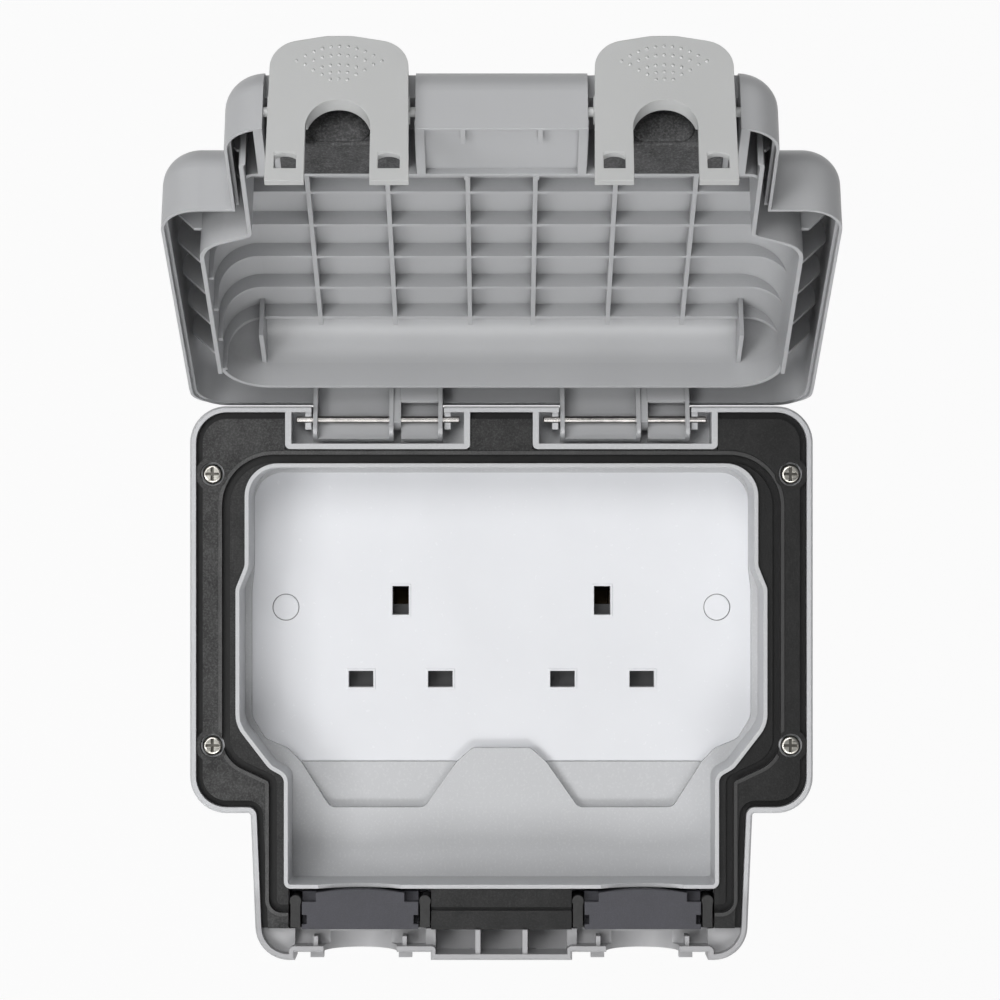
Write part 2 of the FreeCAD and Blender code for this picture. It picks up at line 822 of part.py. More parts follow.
def hinge_pocket(side, sign):
    """What the frame gains and loses round one hinge: a walled pocket, and the lugs that hold the pin."""
    middle = f"{sign}hinge_half_span"
    block = box(f"pocket_block_{side}", (f"{middle} - pocket_half", f"{middle} + pocket_half"),
                ("pocket_floor_front - pocket_floor_thick", "rim_depth"),
                ("pocket_low", "top_edge - pocket_below_edge"))
    block = rounded(f"pocket_round_{side}", block, "pocket_round",
                    lambda edge: edge_runs(edge, "y") and edge.CenterOfMass.z < size("pocket_low") + 1)
    hollow = box(f"pocket_hollow_{side}",
                 (f"{middle} - pocket_half + pocket_wall", f"{middle} + pocket_half - pocket_wall"),
                 ("pocket_floor_front", "rim_depth + 1"),
                 ("pocket_low + pocket_low_wall", "top_edge - rim_wall"))
    opening = box(f"pocket_opening_{side}",
                  (f"{middle} - pocket_gap_half", f"{middle} + pocket_gap_half"),
                  ("pocket_floor_front", "rim_depth + 1"), ("top_edge - rim_wall - 1", "top_edge + 1"))
    lugs = []
    for end, way in ENDS:
        low = f"{middle} {way} lug_offset" + (" - lug_thick" if way == "-" else "")
        lug = box(f"lug_{side}_{end}", (low, f"{low} + lug_thick"),
                  ("pocket_floor_front - 1", f"{HINGE_DEPTH} + pin_radius"),
                  ("hinge_up - pin_radius - lug_jaw", "top_edge - 1"))
        mouth = rod(f"lug_bore_{side}_{end}", "pin_radius + pin_clearance", "lug_thick + 2", "right",
                    f"{low} - 1", HINGE_DEPTH, "hinge_up")
        throat = box(f"lug_throat_{side}_{end}", (f"{low} - 1", f"{low} + lug_thick + 1"),
                     (HINGE_DEPTH, f"{HINGE_DEPTH} + pin_radius + 1"),
                     ("hinge_up - pin_radius * lug_mouth", "hinge_up + pin_radius * lug_mouth"))
        lugs.append(cut(f"lug_clip_{side}_{end}", lug, mouth, throat))
    return block, hollow, opening, lugs


def foot_parts():
    """The bottom of the frame: the floor under the cable seals, and what is cut from it."""
    block = box("foot_block", ("-foot_flat - 1.5", "foot_flat + 1.5"), (FRAME_BACK, "shelf_depth"),
                ("-latch_wall_drop + 0.5", "-tray_drop + 1"))
    lip = box("lip_block", ("-lip_half + 0.5", "lip_half - 0.5"), (FRAME_BACK, "shelf_depth"),
              ("-foot_drop + 0.5", "-latch_wall_drop + 1"))
    block = join("foot_blocks", block, lip)
    cuts = []
    adds = []
    inner_low = "-latch_wall_drop + rim_wall"
    cuts.append(box("centre_compartment", ("-lip_half + centre_wall", "lip_half - centre_wall"),
                    ("foot_floor_front", "rim_depth + 1"), ("-foot_drop + rim_wall", "-seal_drop - 0.4")))
    for side, sign, _ in SIDES:
        middle = f"{sign}latch_centre"
        cuts.append(box(f"seal_pocket_{side}", (f"{middle} - holder_half - seal_play",
                                                f"{middle} + holder_half + seal_play"),
                        ("foot_floor_front", "rim_depth + 1"), ("-seal_drop - 0.2", "-tray_drop + 0.01")))
        cuts.append(box(f"latch_compartment_{side}", (f"{middle} - latch_pocket_half + 0.2",
                                                      f"{middle} + latch_pocket_half - 0.2"),
                        ("latch_floor_front", "rim_depth + 1"), (inner_low, "-seal_drop + 0.5")))
        notch_low = "-latch_wall_drop - 1"
        notch_centre = "foot_floor_front + cable_notch_half + cable_notch_floor"
        cuts.append(join(f"cable_notch_{side}",
                         rod(f"cable_notch_round_{side}", "cable_notch_half", "6", "up", middle,
                             notch_centre, notch_low),
                         box(f"cable_notch_open_{side}",
                             (f"{middle} - cable_notch_half", f"{middle} + cable_notch_half"),
                             (notch_centre, "rim_depth + 2"), (notch_low, f"{notch_low} + 6"))))
        cuts.append(rod(f"tray_notch_{side}", "tray_notch_round", "tray_wall + 2", "up", middle,
                        "rim_depth + tray_notch_over", "-tray_drop - 1"))
        for end, way in ENDS:
            at = f"{middle} {way} latch_window_offset"
            adds.append(box(f"foot_rib_{side}_{end}",
                            (f"{at} - foot_rib_thick / 2", f"{at} + foot_rib_thick / 2"),
                            ("foot_floor_front - 0.5", "rim_depth - foot_rib_below_rim"),
                            ("-latch_wall_drop + 0.5", "-latch_wall_drop + rim_wall + foot_rib_long")))
            adds.append(box(f"tab_{side}_{end}", (f"{at} - latch_tab_half", f"{at} + latch_tab_half"),
                            ("rim_depth - latch_window_low + latch_tab_play",
                             "rim_depth - latch_window_high - latch_tab_play"),
                            ("-latch_wall_drop - latch_gap - latch_thick * 0.8", "-latch_wall_drop + 0.5")))
    for side, sign, _ in SIDES:
        at = f"{sign}centre_rib_across"
        adds.append(box(f"centre_rib_{side}",
                        (f"{at} - centre_rib_thick / 2", f"{at} + centre_rib_thick / 2"),
                        ("foot_floor_front - 0.5", "rim_depth - centre_rib_below_rim"),
                        ("-foot_drop + 0.5", "-seal_drop - 0.2")))
    return block, cuts, adds


def make_front_frame():
    """The frame with the socket tray: one moulding that everything in front hangs on."""
    outer = bevelled("frame_outer", slab("frame_block", base_plan, FRAME_BACK, "rim_depth"), "rim_bevel",
                     lambda edge: edge_depth(edge) > size("rim_depth") - 0.01)
    channel = slab("frame_channel", frame_inside_plan, "shelf_depth", "rim_depth + 1")
    underside = slab("frame_underside", frame_inside_plan, f"{FRAME_BACK} - 1", SHELF_BACK)
    ring = cut("frame_ring", outer, channel, underside)
    tray = slab("tray_block", tray_plan, "tray_rear", "rim_depth")
    behind_plate = box("behind_plate", ("-half_width", "half_width"), ("tray_rear - 1", "plate_front"),
                       ("-plate_half_height - 0.1", "top_edge"))
    tray_hollow = slab("tray_hollow", tray_inside_plan, "tray_floor_front", "rim_depth + 1")
    window = slab("window", outline("window_plan", [
        ("tray_half_top - tray_wall", "window_top", "window_round"),
        ("tray_half_top - tray_wall", "tray_jog_high - window_jog_step", "window_jog_round"),
        ("window_half", "tray_jog_low - window_jog_step", "window_jog_round"),
        ("window_half", "-window_turn", "window_turn_round"),
        ("window_slant_half", "-window_slant_drop", "window_jog_round"),
        ("window_low_half", "-window_low_drop", "window_low_round"),
        ("recess_out", "-plate_half_height - 0.1", None),
        ("recess_in", "-plate_half_height - 0.1", None),
        ("tongue_half", "-tongue_drop", "tongue_round"),
    ]), "tray_rear - 1", "tray_floor_front + 1")
    recess = slab("flex_recess", outline("recess_plan", [
        ("recess_out", "-plate_half_height", None),
        ("recess_out_low", "-recess_drop", "recess_round"),
        ("recess_in_low", "-recess_drop", "recess_round"),
        ("recess_in", "-plate_half_height", None),
    ], symmetric=False), "plate_front + recess_step", "tray_floor_front + 1")
    blocks, hollows, openings, lugs = [], [], [], []
    for side, sign, _ in SIDES:
        block, hollow, opening, clips = hinge_pocket(side, sign)
        blocks.append(block)
        hollows += [hollow, opening]
        lugs += clips
    foot, foot_cuts, foot_adds = foot_parts()
    bosses, wells = [], []
    for side, sign, _ in SIDES:
        for level, up in LEVELS:
            x = f"{sign}screw_across"
            bosses.append(rod(f"frame_boss_{level}_{side}", "screw_boss_radius - 0.4",
                              f"shelf_depth + 1.2 - ({FRAME_BACK})", "front", x, FRAME_BACK, up))
            wells.append(rod(f"frame_hole_{level}_{side}", "screw_radius + screw_hole_play", "20", "front", x,
                             f"{FRAME_BACK} - 1", up))
    boss_trim = slab("boss_trim", base_plan, f"{FRAME_BACK} - 1", "rim_depth")
    bosses = shared("frame_bosses", join("frame_boss_rods", *bosses), boss_trim)
    body = join("frame_body", ring, tray, bosses, foot, *blocks)
    hollowed = cut("frame_hollowed", body, tray_hollow, behind_plate, window, recess,
                   mirrored("flex_recess_left", recess), *hollows, *wells, *foot_cuts)
    whole = join("front_frame_solid", hollowed, *lugs, *foot_adds)
    return node("front_frame", whole)


def make_frame_gasket():
    """The black rubber in the frame's channel, with the groove that the lid's inner wall presses into."""
    outer = grown("gasket_outer_plan", base_plan, "-rim_wall - gasket_play")
    inner = grown("gasket_inner_plan", tray_plan, "gasket_play")
    groove_in = grown("groove_in_plan", seal_wall_plan, "-tub_wall - groove_play")
    groove_out = grown("groove_out_plan", seal_wall_plan, "groove_play")
    bead_out = grown("bead_out_plan", seal_wall_plan, "groove_play + gasket_bead_wide")
    band_out = grown("band_out_plan", base_plan, "-rim_wall - gasket_play - gasket_band_inset")
    low, high = "shelf_depth", "shelf_depth + 5"
    base = slab("gasket_base_slab", outer, low, "shelf_depth + gasket_base")
    band = cut("gasket_band_ring", slab("gasket_band_slab", band_out, low, "shelf_depth + gasket_band"),
               slab("gasket_band_hole", bead_out, f"{low} - 1", high))
    bead = cut("gasket_bead_ring", slab("gasket_bead_slab", bead_out, low, "shelf_depth + gasket_bead"),
               slab("gasket_bead_hole", groove_out, f"{low} - 1", high))
    floor = slab("gasket_inner_slab", groove_in, low, "shelf_depth + gasket_inner")
    body = join("gasket_body", base, band, bead, floor)
    limit = slab("gasket_limit", outer, f"{low} - 1", high)
    groove = cut("gasket_groove", slab("gasket_groove_wide", groove_out, "shelf_depth + gasket_base", high),
                 slab("gasket_groove_core", groove_in, f"{low} - 1", high))
    tools = [slab("gasket_tray_hole", inner, f"{low} - 1", high),
             box("gasket_middle", ("-lip_half + gasket_play", "lip_half - gasket_play"), (f"{low} - 1", high),
                 ("-foot_drop", "-tray_drop + 0.4"))]
    for side, sign, _ in SIDES:
        middle = f"{sign}hinge_half_span"
        tools.append(box(f"gasket_pocket_{side}",
                         (f"{middle} - pocket_half - gasket_play", f"{middle} + pocket_half + gasket_play"),
                         (f"{low} - 1", high), ("pocket_low - gasket_play", "top_edge")))
        middle = f"{sign}latch_centre"
        tools.append(box(f"gasket_seal_{side}", (f"{middle} - holder_half - seal_play",
                                                 f"{middle} + holder_half + seal_play"),
                         (f"{low} - 1", high), ("-foot_drop", "-tray_drop + 0.4")))
        for level, up in LEVELS:
            tools.append(rod(f"gasket_screw_{level}_{side}", "screw_well_radius", "9", "front",
                             f"{sign}screw_across", "shelf_depth + gasket_base - 0.2", up))
            tools.append(rod(f"gasket_boss_{level}_{side}", "screw_boss_radius - 0.3", "9", "front",
                             f"{sign}screw_across", "shelf_depth - 1", up))
    tools.append(box("gasket_foot", ("-foot_half", "foot_half"), (f"{low} - 1", high),
                     ("-foot_drop - 1", "-seal_drop + 0.2")))
    collars = []
    for side, sign, _ in SIDES:
        for level, up in LEVELS:
            collar = rod(f"gasket_ring_out_{level}_{side}", "screw_boss_radius", "gasket_band - 1.3", "front",
                         f"{sign}screw_across", "shelf_depth + 1.3", up)
            well = rod(f"gasket_ring_in_{level}_{side}", "screw_well_radius", "9", "front",
                       f"{sign}screw_across", "shelf_depth + 1", up)
            collars.append(cut(f"gasket_ring_{level}_{side}", collar, well))
    collars = shared("gasket_rings_trimmed", join("gasket_ring_set", *collars), limit)
    rings = cut("gasket_rings", collars, groove)
    trimmed = shared("gasket_trimmed", body, limit)
    node("frame_gasket", join("gasket_solid", cut("gasket_cut", trimmed, *tools, groove), rings))
    strip = box("strip_block", ("-lip_half + gasket_play", "lip_half - gasket_play"),
                (low, "shelf_depth + gasket_inner"), ("-seal_drop - 0.2", "-tray_drop - gasket_play"))
    strip_groove = box("strip_groove", ("-lip_half - 1", "lip_half + 1"), ("shelf_depth + gasket_base", high),
                       ("-tray_drop - strip_groove_to", "-tray_drop - strip_groove_from"))
    node("foot_gasket", cut("strip_solid", strip, strip_groove))


def cross_cut(name, x, depth, z):
    """The two bars of the cross that is cut into a screw head."""
    reach = (f"{depth} - cross_deep", f"{depth} + 1")
    flat = box(f"{name}_flat", (f"{x} - cross_arm", f"{x} + cross_arm"), reach,
               (f"{z} - cross_half", f"{z} + cross_half"))
    tall = box(f"{name}_tall", (f"{x} - cross_half", f"{x} + cross_half"), reach,
               (f"{z} - cross_arm", f"{z} + cross_arm"))
    return [flat, tall]


def make_frame_screws():
    """Four pan head screws through the frame into the box."""
    screws = []
    for side, sign, _ in SIDES:
        for level, up in LEVELS:
            x = f"{sign}screw_across"
            name = f"frame_screw_{level}_{side}"
            head = rod(f"{name}_head", "screw_head_radius", "screw_head_thick", "front", x,
                       "screw_head_front - screw_head_thick", up)
            head = rounded(f"{name}_dome", head, "screw_dome",
                           lambda edge: edge_depth(edge) > size("screw_head_front") - 0.1)
            shank = rod(f"{name}_shank", "screw_radius",
                        "screw_head_front - screw_head_thick - box_depth + screw_reach + 0.5",
                        "front", x, "box_depth - screw_reach", up)
            screws.append(cut(name, join(f"{name}_body", head, shank),
                              *cross_cut(name, x, "screw_head_front", up)))
    return node("frame_screws", group("frame_screw_set", screws))


def slot_places():
    """Each pin slot: name, x, z, half its width and half its height."""
    for side, sign, _ in SIDES:
        middle = f"{sign}outlet_across"
        yield f"earth_{side}", middle, "earth_up", "slot_narrow / 2", "slot_long / 2"
        yield f"neutral_{side}", f"{middle} - live_offset", LIVE_UP, "slot_wide / 2", "slot_narrow / 2"
        yield f"line_{side}", f"{middle} + live_offset", LIVE_UP, "slot_wide / 2", "slot_narrow / 2"


def slot_block(name, slot, grow, back, front):
    _, x, z, wide, tall = slot
    return box(name, (f"{x} - ({wide}) - ({grow})", f"{x} + ({wide}) + ({grow})"), (back, front),
               (f"{z} - ({tall}) - ({grow})", f"{z} + ({tall}) + ({grow})"))


def make_socket_plate():
    """The white plate: a shallow tray turned forwards, with a lined well behind each pin slot."""
    block = rounded("plate_block", box("plate_box", ("-plate_half", "plate_half"),
                                       (PLATE_BACK, "plate_front"),
                                       ("-plate_half_height", "plate_half_height")),
                    "plate_round", lambda edge: edge_runs(edge, "y"))
    hollow = box("plate_hollow", ("-plate_half + plate_wall", "plate_half - plate_wall"),
                 (f"{PLATE_BACK} - 1", "plate_front - plate_skin"),
                 ("-plate_half_height + plate_wall", "plate_half_height - plate_wall"))
    adds, holes = [], []
    for slot in slot_places():
        name = slot[0]
        well_back = "plate_front - well_depth"
        adds.append(slot_block(f"well_{name}", slot, "well_wall", well_back, "plate_front - 1"))
        adds.append(slot_block(f"lip_{name}", slot, "slot_lip", "plate_front - 1",
                               "plate_front + slot_lip_rise"))
        holes.append(slot_block(f"slot_{name}", slot, "0", f"{well_back} - 1", "plate_front + 1"))
    for side, sign, _ in SIDES:
        x = f"{sign}fixing_across"
        adds.append(rod(f"fixing_boss_{side}", "pillar_radius", "plate_depth - 1", "front", x, PLATE_BACK))
        holes.append(rod(f"fixing_hole_{side}", "fixing_radius + screw_hole_play", "plate_depth + 2",
                         "front", x, f"{PLATE_BACK} - 1"))
        holes.append(rod(f"fixing_sink_{side}", "cap_radius + cap_seat",
                         "cap_thick + fixing_head_thick + 1.2", "front", x,
                         "plate_front - cap_thick - fixing_head_thick - cap_gap"))
    body = join("plate_body", cut("plate_shell", block, hollow), *adds)
    return node("socket_plate", cut("plate_solid", body, *holes))


def make_plate_fixings():
    """The two plate screws, the inserts that they turn into, and the caps over them."""
    screws, inserts = [], []
    for side, sign, _ in SIDES:
        x = f"{sign}fixing_across"
        head_front = "plate_front - cap_thick - cap_gap"
        name = f"plate_screw_{side}"
        head = rod(f"{name}_head", "fixing_head_radius", "fixing_head_thick", "front", x,
                   f"{head_front} - fixing_head_thick")
        shank = rod(f"{name}_shank", "fixing_radius",
                    f"{head_front} - fixing_head_thick - ({PLATE_BACK}) + fixing_reach + 0.5", "front", x,
                    f"{PLATE_BACK} - fixing_reach")
        screws.append(cut(name, join(f"{name}_body", head, shank),
                          *cross_cut(name, x, head_front, "0")))
        sleeve = rod(f"insert_sleeve_{side}", "insert_radius - 0.02", "insert_length", "front", x,
                     f"{PLATE_BACK} - insert_length")
        bore = rod(f"insert_thread_{side}", "fixing_radius + screw_clearance", "insert_length + 2",
                   "front", x, f"{PLATE_BACK} - insert_length - 1")
        inserts.append(cut(f"insert_{side}", sleeve, bore))
        cap = rod(f"cap_disc_{side}", "cap_radius", "cap_thick", "front", x, "plate_front - cap_thick")
        node(f"screw_cap_{side}", rounded(f"cap_{side}", cap, "cap_bevel",
                                          lambda edge: edge_depth(edge) > size("plate_front") - 0.01))
    node("plate_screws", group("plate_screw_pair", screws))
    node("plate_inserts", group("insert_pair", inserts))


def make_housing():
    """The block behind the plate with a chamber for each contact, and its rear cover."""
    block = box("housing_block", ("-housing_half", "housing_half"), ("housing_back", HOUSING_FRONT),
                ("-housing_drop", "housing_top"))
    chambers = []
    for slot in slot_places():
        name, x, z, _, _ = slot
        chambers.append(box(f"chamber_{name}", (f"{x} - chamber_half", f"{x} + chamber_half"),
                            ("housing_back - 1", f"{HOUSING_FRONT} + 1"),
                            (f"{z} - chamber_half", f"{z} + chamber_half")))
    adds = []
    for side, sign, _ in SIDES:
        middle = f"{sign}outlet_across"
        wide = (f"{middle} - spring_ledge_half", f"{middle} + spring_ledge_half")
        under = f"{SPRING_FOOT} - spring_ledge_thick"
        adds.append(box(f"spring_ledge_{side}", wide, ("housing_back + 1", "plate_front - plate_skin - 0.3"),
                        (under, SPRING_FOOT)))
        adds.append(box(f"ledge_foot_{side}", wide, ("housing_back + 1", f"{HOUSING_FRONT} - 0.5"),
                        (under, "-housing_drop + 1")))
    bores, cover_bores, screws = [], [], []
    for tag, x in HOUSING_POSTS:
        adds.append(box(f"housing_post_{tag}", (f"{x} - housing_post_half", f"{x} + housing_post_half"),
                        (f"{HOUSING_FRONT} - 1", "plate_front - plate_skin"),
                        ("housing_post_up - housing_post_half", "housing_post_up + housing_post_half")))
        bores.append(rod(f"housing_bore_{tag}", "housing_screw_radius + 0.1", "30", "front", x,
                         "housing_back - 2", "housing_post_up"))
        cover_bores.append(rod(f"cover_bore_{tag}", "housing_screw_radius + 0.1", "10", "front", x,
                               "housing_back - 6", "housing_post_up"))
        head = rod(f"housing_screw_head_{tag}", "housing_head_radius", "housing_head_thick", "front", x,
                   f"{COVER_BACK} - housing_head_thick", "housing_post_up")
        shank = rod(f"housing_screw_shank_{tag}", "housing_screw_radius",
                    f"{HOUSING_FRONT} - ({COVER_BACK}) + 1", "front", x, f"{COVER_BACK} - 0.5",
                    "housing_post_up")
        screws.append(join(f"housing_screw_{tag}", head, shank))
    node("socket_housing", cut("housing_solid", join("housing_body", block, *adds), *chambers, *bores))
    cover = box("cover_block", ("-housing_half", "housing_half"), (COVER_BACK, "housing_back - strap_thick"),
                ("-housing_drop", "housing_top"))
    half = "terminal_size / 2 + cover_hole_play"
    holes = [box(f"cover_hole_{name}", (f"{x} - ({half})", f"{x} + {half}"), ("0", "housing_back"),
                 (f"{z} - ({half})", f"{z} + {half}")) for name, x, z in terminal_places()]
    node("housing_cover", cut("cover_solid", cover, *holes, *cover_bores))
    node("housing_screws", group("housing_screw_set", screws))


def terminal_places():
    """The three terminals on the back: name, x and z of their middle."""
    yield "line", "0", "-line_strap_drop"
    yield "neutral", "neutral_terminal_across", "-neutral_strap_drop"
    yield "earth", "-earth_terminal_across", "earth_up"


def leaf_pair(name, x, z, upright):
    """The two leaves that grip a pin, standing on the pad behind its slot."""
    reach = ("housing_back", f"{HOUSING_FRONT} - leaf_short")
    leaves = []
    for end, way in ENDS:
        if upright:
            near = f"{x} {way} leaf_gap_earth" + (" - contact_leaf" if way == "-" else "")
            leaves.append(box(f"{name}_{end}", (near, f"{near} + contact_leaf"), reach,
                              (f"{z} - leaf_rise", f"{z} + leaf_rise")))
        else:
            near = f"{z} {way} leaf_gap_live" + (" - contact_leaf" if way == "-" else "")
            leaves.append(box(f"{name}_{end}", (f"{x} - leaf_half", f"{x} + leaf_half"), reach,
                              (near, f"{near} + contact_leaf")))
    return leaves


def contact_set(pole, to_pin, strap_up, bridge):
    """A strap with a pair of gripping leaves behind each outlet, and its terminal block."""
    name = f"{pole}_contacts"
    upright = bridge is None
    z = "earth_up" if upright else LIVE_UP
    strap_back = "housing_back - strap_thick"
    pieces = [box(f"{name}_strap",
                  ("-outlet_across - live_offset - leaf_half", "outlet_across + live_offset + leaf_half"),
                  (strap_back, "housing_back"), (f"{strap_up} - strap_half", f"{strap_up} + strap_half"))]
    for side, sign, _ in SIDES:
        x = f"{sign}outlet_across {to_pin}"
        wide = (f"{x} - leaf_half", f"{x} + leaf_half")
        pieces.append(box(f"{name}_pad_{side}", wide, ("housing_back", "housing_back + contact_leaf"),
                          (f"{z} - leaf_rise", f"{z} + leaf_rise")))
        if not upright:
            pieces.append(box(f"{name}_bridge_{side}", wide,
                              (strap_back, "housing_back + contact_leaf"), bridge))
        pieces += leaf_pair(f"{name}_leaf_{side}", x, z, upright)
    places = {place_name: (x, z) for place_name, x, z in terminal_places()}
    x, z = places[pole]
    half = "terminal_size / 2"
    pieces.append(box(f"{name}_block", (f"{x} - {half}", f"{x} + {half}"),
                      (TERMINAL_BACK, f"{strap_back} + 0.2"), (f"{z} - {half}", f"{z} + {half}")))
    wire = rod(f"{name}_wire_hole", "wire_hole_radius", "terminal_size + 2", "up", x,
               f"{TERMINAL_BACK} + {half}", f"{z} - {half} - 1")
    thread = rod(f"{name}_thread", "terminal_screw_radius + screw_clearance", "terminal_size / 2 + 1",
                 "front", x, f"{TERMINAL_BACK} - 1", z)
    return node(name, cut(f"{name}_solid", join(f"{name}_body", *pieces), wire, thread))


def make_contacts():
    """The line, neutral and earth contacts, and the screws in their terminals."""
    contact_set("line", "+ live_offset", "-line_strap_drop",
                (f"{LIVE_UP} - bridge_far", f"{LIVE_UP} - bridge_near"))
    contact_set("neutral", "- live_offset", "-neutral_strap_drop",
                (f"{LIVE_UP} + bridge_near", f"{LIVE_UP} + bridge_far"))
    contact_set("earth", "", "earth_up", None)
    screws = []
    for name, x, z in terminal_places():
        head = rod(f"terminal_head_{name}", "small_head_radius", "small_head_thick", "front", x,
                   f"{TERMINAL_BACK} - small_head_thick", z)
        shank = rod(f"terminal_shank_{name}", "terminal_screw_radius", "terminal_size / 2 - 1", "front", x,
                    f"{TERMINAL_BACK} - 0.4", z)
        screws.append(join(f"terminal_screw_{name}", head, shank))
    node("terminal_screws", group("terminal_screw_set", screws))


def make_shutters():
    """The sliding shutters that close the live slots, each pushed up by a small spring."""
    back = f"{HOUSING_FRONT} + shutter_play"
    for side, sign, _ in SIDES:
        middle = f"{sign}outlet_across"
        reach = (back, f"{back} + shutter_thick")
        plate = box(f"shutter_plate_{side}", (f"{middle} - shutter_half", f"{middle} + shutter_half"),
                    reach, (f"{LIVE_UP} - shutter_rise", f"{LIVE_UP} + shutter_rise"))
        stem = box(f"shutter_stem_{side}", (f"{middle} - shutter_stem_half", f"{middle} + shutter_stem_half"),
                   reach, (f"{LIVE_UP} + shutter_rise - 1", "earth_up - shutter_stem_gap"))
        node(f"shutter_{side}", join(f"shutter_{side}_solid", plate, stem))
        spring = doc.addObject("Part::Feature", f"spring_{side}")
        rise = size("spring_length - 2 * spring_wire - 2 * spring_gap")
        spring.Shape = coil(size("spring_radius"), size("spring_wire"), rise, size("spring_turns"))
        spring.Placement = Placement(Vector(), Rotation())
        place(spring, middle, f"{back} + shutter_thick / 2",
              f"{SPRING_FOOT} + spring_wire + spring_gap")
        node(f"shutter_spring_{side}", spring)


def coil(radius, wire, rise, turns):
    """A spring standing on its end, with wire of a given radius."""
    helix = Part.makeHelix(rise / turns, rise, radius)
    start = Part.Wire(Part.makeCircle(wire, Vector(radius, 0, 0), Vector(0, 1, 0)))
    return Part.Wire(helix.Edges).makePipeShell([start], True, True)


def base_cable_seal(side, middle):
    """One foam block in the frame, stepped at its ends and arched at the top."""
    front = "rim_depth - seal_below_rim"
    step_back = "rim_depth - seal_step_deep"
    block = box(f"seal_block_{side}", (f"{middle} - seal_half", f"{middle} + seal_half"),
                ("foot_floor_front + seal_floor_gap", front), ("-seal_drop", "-seal_top"))
    cuts = []
    for end, turn in ENDS:
        edge = f"{middle} {turn} seal_half"
        for kind, wide, high, low in (
                ("corner", "seal_corner", "-seal_top + 1", "-seal_top - seal_corner_drop"),
                ("notch", "seal_notch", "-seal_top - seal_notch_from", "-seal_top - seal_notch_to")):
            start = edge if turn == "-" else f"{edge} - {wide}"
            cuts.append(box(f"seal_{kind}_{side}_{end}", (start, f"{start} + {wide}"),
                            (step_back, "rim_depth + 1"), (low, high)))
    block = cut(f"seal_cut_{side}", block, *cuts)
    radius = "(seal_arch_half * seal_arch_half + seal_arch * seal_arch) / (2 * seal_arch)"
    disc = rod(f"seal_disc_{side}", radius, f"{front} - ({step_back})", "front", middle, step_back,
               f"-seal_top + seal_arch - ({radius})")
    window = box(f"seal_arch_limit_{side}", (f"{middle} - seal_arch_half", f"{middle} + seal_arch_half"),
                 (step_back, front), ("-seal_top - 1", "-seal_top + seal_arch + 1"))
    return join(f"base_seal_{side}", block, shared(f"seal_arch_{side}", disc, window))


def seal_holder(side, middle):
    """The rubber under a foam block, with a post and a bulb at each end."""
    pieces = [box(f"holder_floor_{side}", (f"{middle} - holder_half", f"{middle} + holder_half"),
                  ("foot_floor_front", "foot_floor_front + holder_floor"),
                  ("-seal_drop + 1", "-seal_top - 1"))]
    top = "-seal_top - holder_bulb_drop"
    front = "rim_depth - holder_below_rim"
    for end, turn in ENDS:
        low = f"{middle} {turn} holder_half" + ("" if turn == "-" else " - holder_post")
        pieces.append(box(f"holder_post_{side}_{end}", (f"{low} + 0.25", f"{low} + holder_post - 0.25"),
                          ("foot_floor_front", front), ("-seal_drop + 0.4", top)))
        pieces.append(rod(f"holder_bulb_{side}_{end}", "holder_post / 2", f"{front} - foot_floor_front",
                          "front", f"{low} + holder_post / 2", "foot_floor_front", top))
    return join(f"holder_{side}", *pieces)


def make_cable_seals():
    """The soft blocks that close round the leads, and the rubber holders at their ends."""
    for side, sign, _ in SIDES:
        middle = f"{sign}latch_centre"
        node(f"base_cable_seal_{side}", base_cable_seal(side, middle))
        node(f"seal_holder_{side}", seal_holder(side, middle))
        lid_block = box(f"lid_seal_block_{side}", (f"{middle} - lid_seal_half", f"{middle} + lid_seal_half"),
                        ("rim_depth", "rim_depth + lid_seal_rise"), ("-latch_pocket_drop", "-tub_drop - 0.2"))
        soft = rounded(f"lid_seal_{side}", lid_block, "lid_seal_soft",
                       lambda edge: edge_depth(edge) < size("rim_depth") + 0.1)
        node(f"lid_cable_seal_{side}", swung(soft))


def make_hinge_pins():
    """The two steel pins that the lid turns on."""
    for side, sign, _ in SIDES:
        bar = rod(f"pin_bar_{side}", "pin_radius", "2 * pin_half_length", "right",
                  f"{sign}hinge_half_span - pin_half_length", HINGE_DEPTH, "hinge_up")
        node(f"hinge_pin_{side}", bevelled(f"pin_{side}", bar, "pin_bevel",
                                           lambda edge: len(edge.Vertexes) == 1))


def soft_block(name, x, depth, z, corner, front):
    """A block with round corners, whose front edge is rounded all the way round."""
    upright = rounded(f"{name}_corners", box(f"{name}_box", x, depth, z), corner,
                      lambda edge: edge_runs(edge, "y"))
    face = size(depth[1]) - 0.01
    return rounded(f"{name}_soft", upright, front, lambda edge: edge_depth(edge) > face)


def lid_form(name, inset):
    """The lid's outer form, moved in by a wall all round."""
    back = "rim_depth - 4"
    front = f"rim_depth + lid_depth - {inset}"
    wide = soft_block(f"{name}_wide", (f"-lid_half + {inset}", f"lid_half - {inset}"), (back, front),
                      (f"-lid_shoulder + {inset}", f"lid_top - {inset}"),
                      f"corner_round - {inset}", f"lid_round - {inset}")
    narrow = soft_block(f"{name}_narrow", (f"-lid_neck_half + {inset}", f"lid_neck_half - {inset}"),
                        (back, f"{front} - lid_neck_step"), (f"-lid_drop + {inset}", "0"),
                        f"lid_neck_round - {inset}", f"lid_round - {inset}")
    return join(f"{name}_form", wide, narrow)


def rib_places():
    """The height of each cross rib, with its number."""
    for number, step in enumerate(range(-2, 3)):
        yield number, f"{step} * rib_pitch - rib_shift"


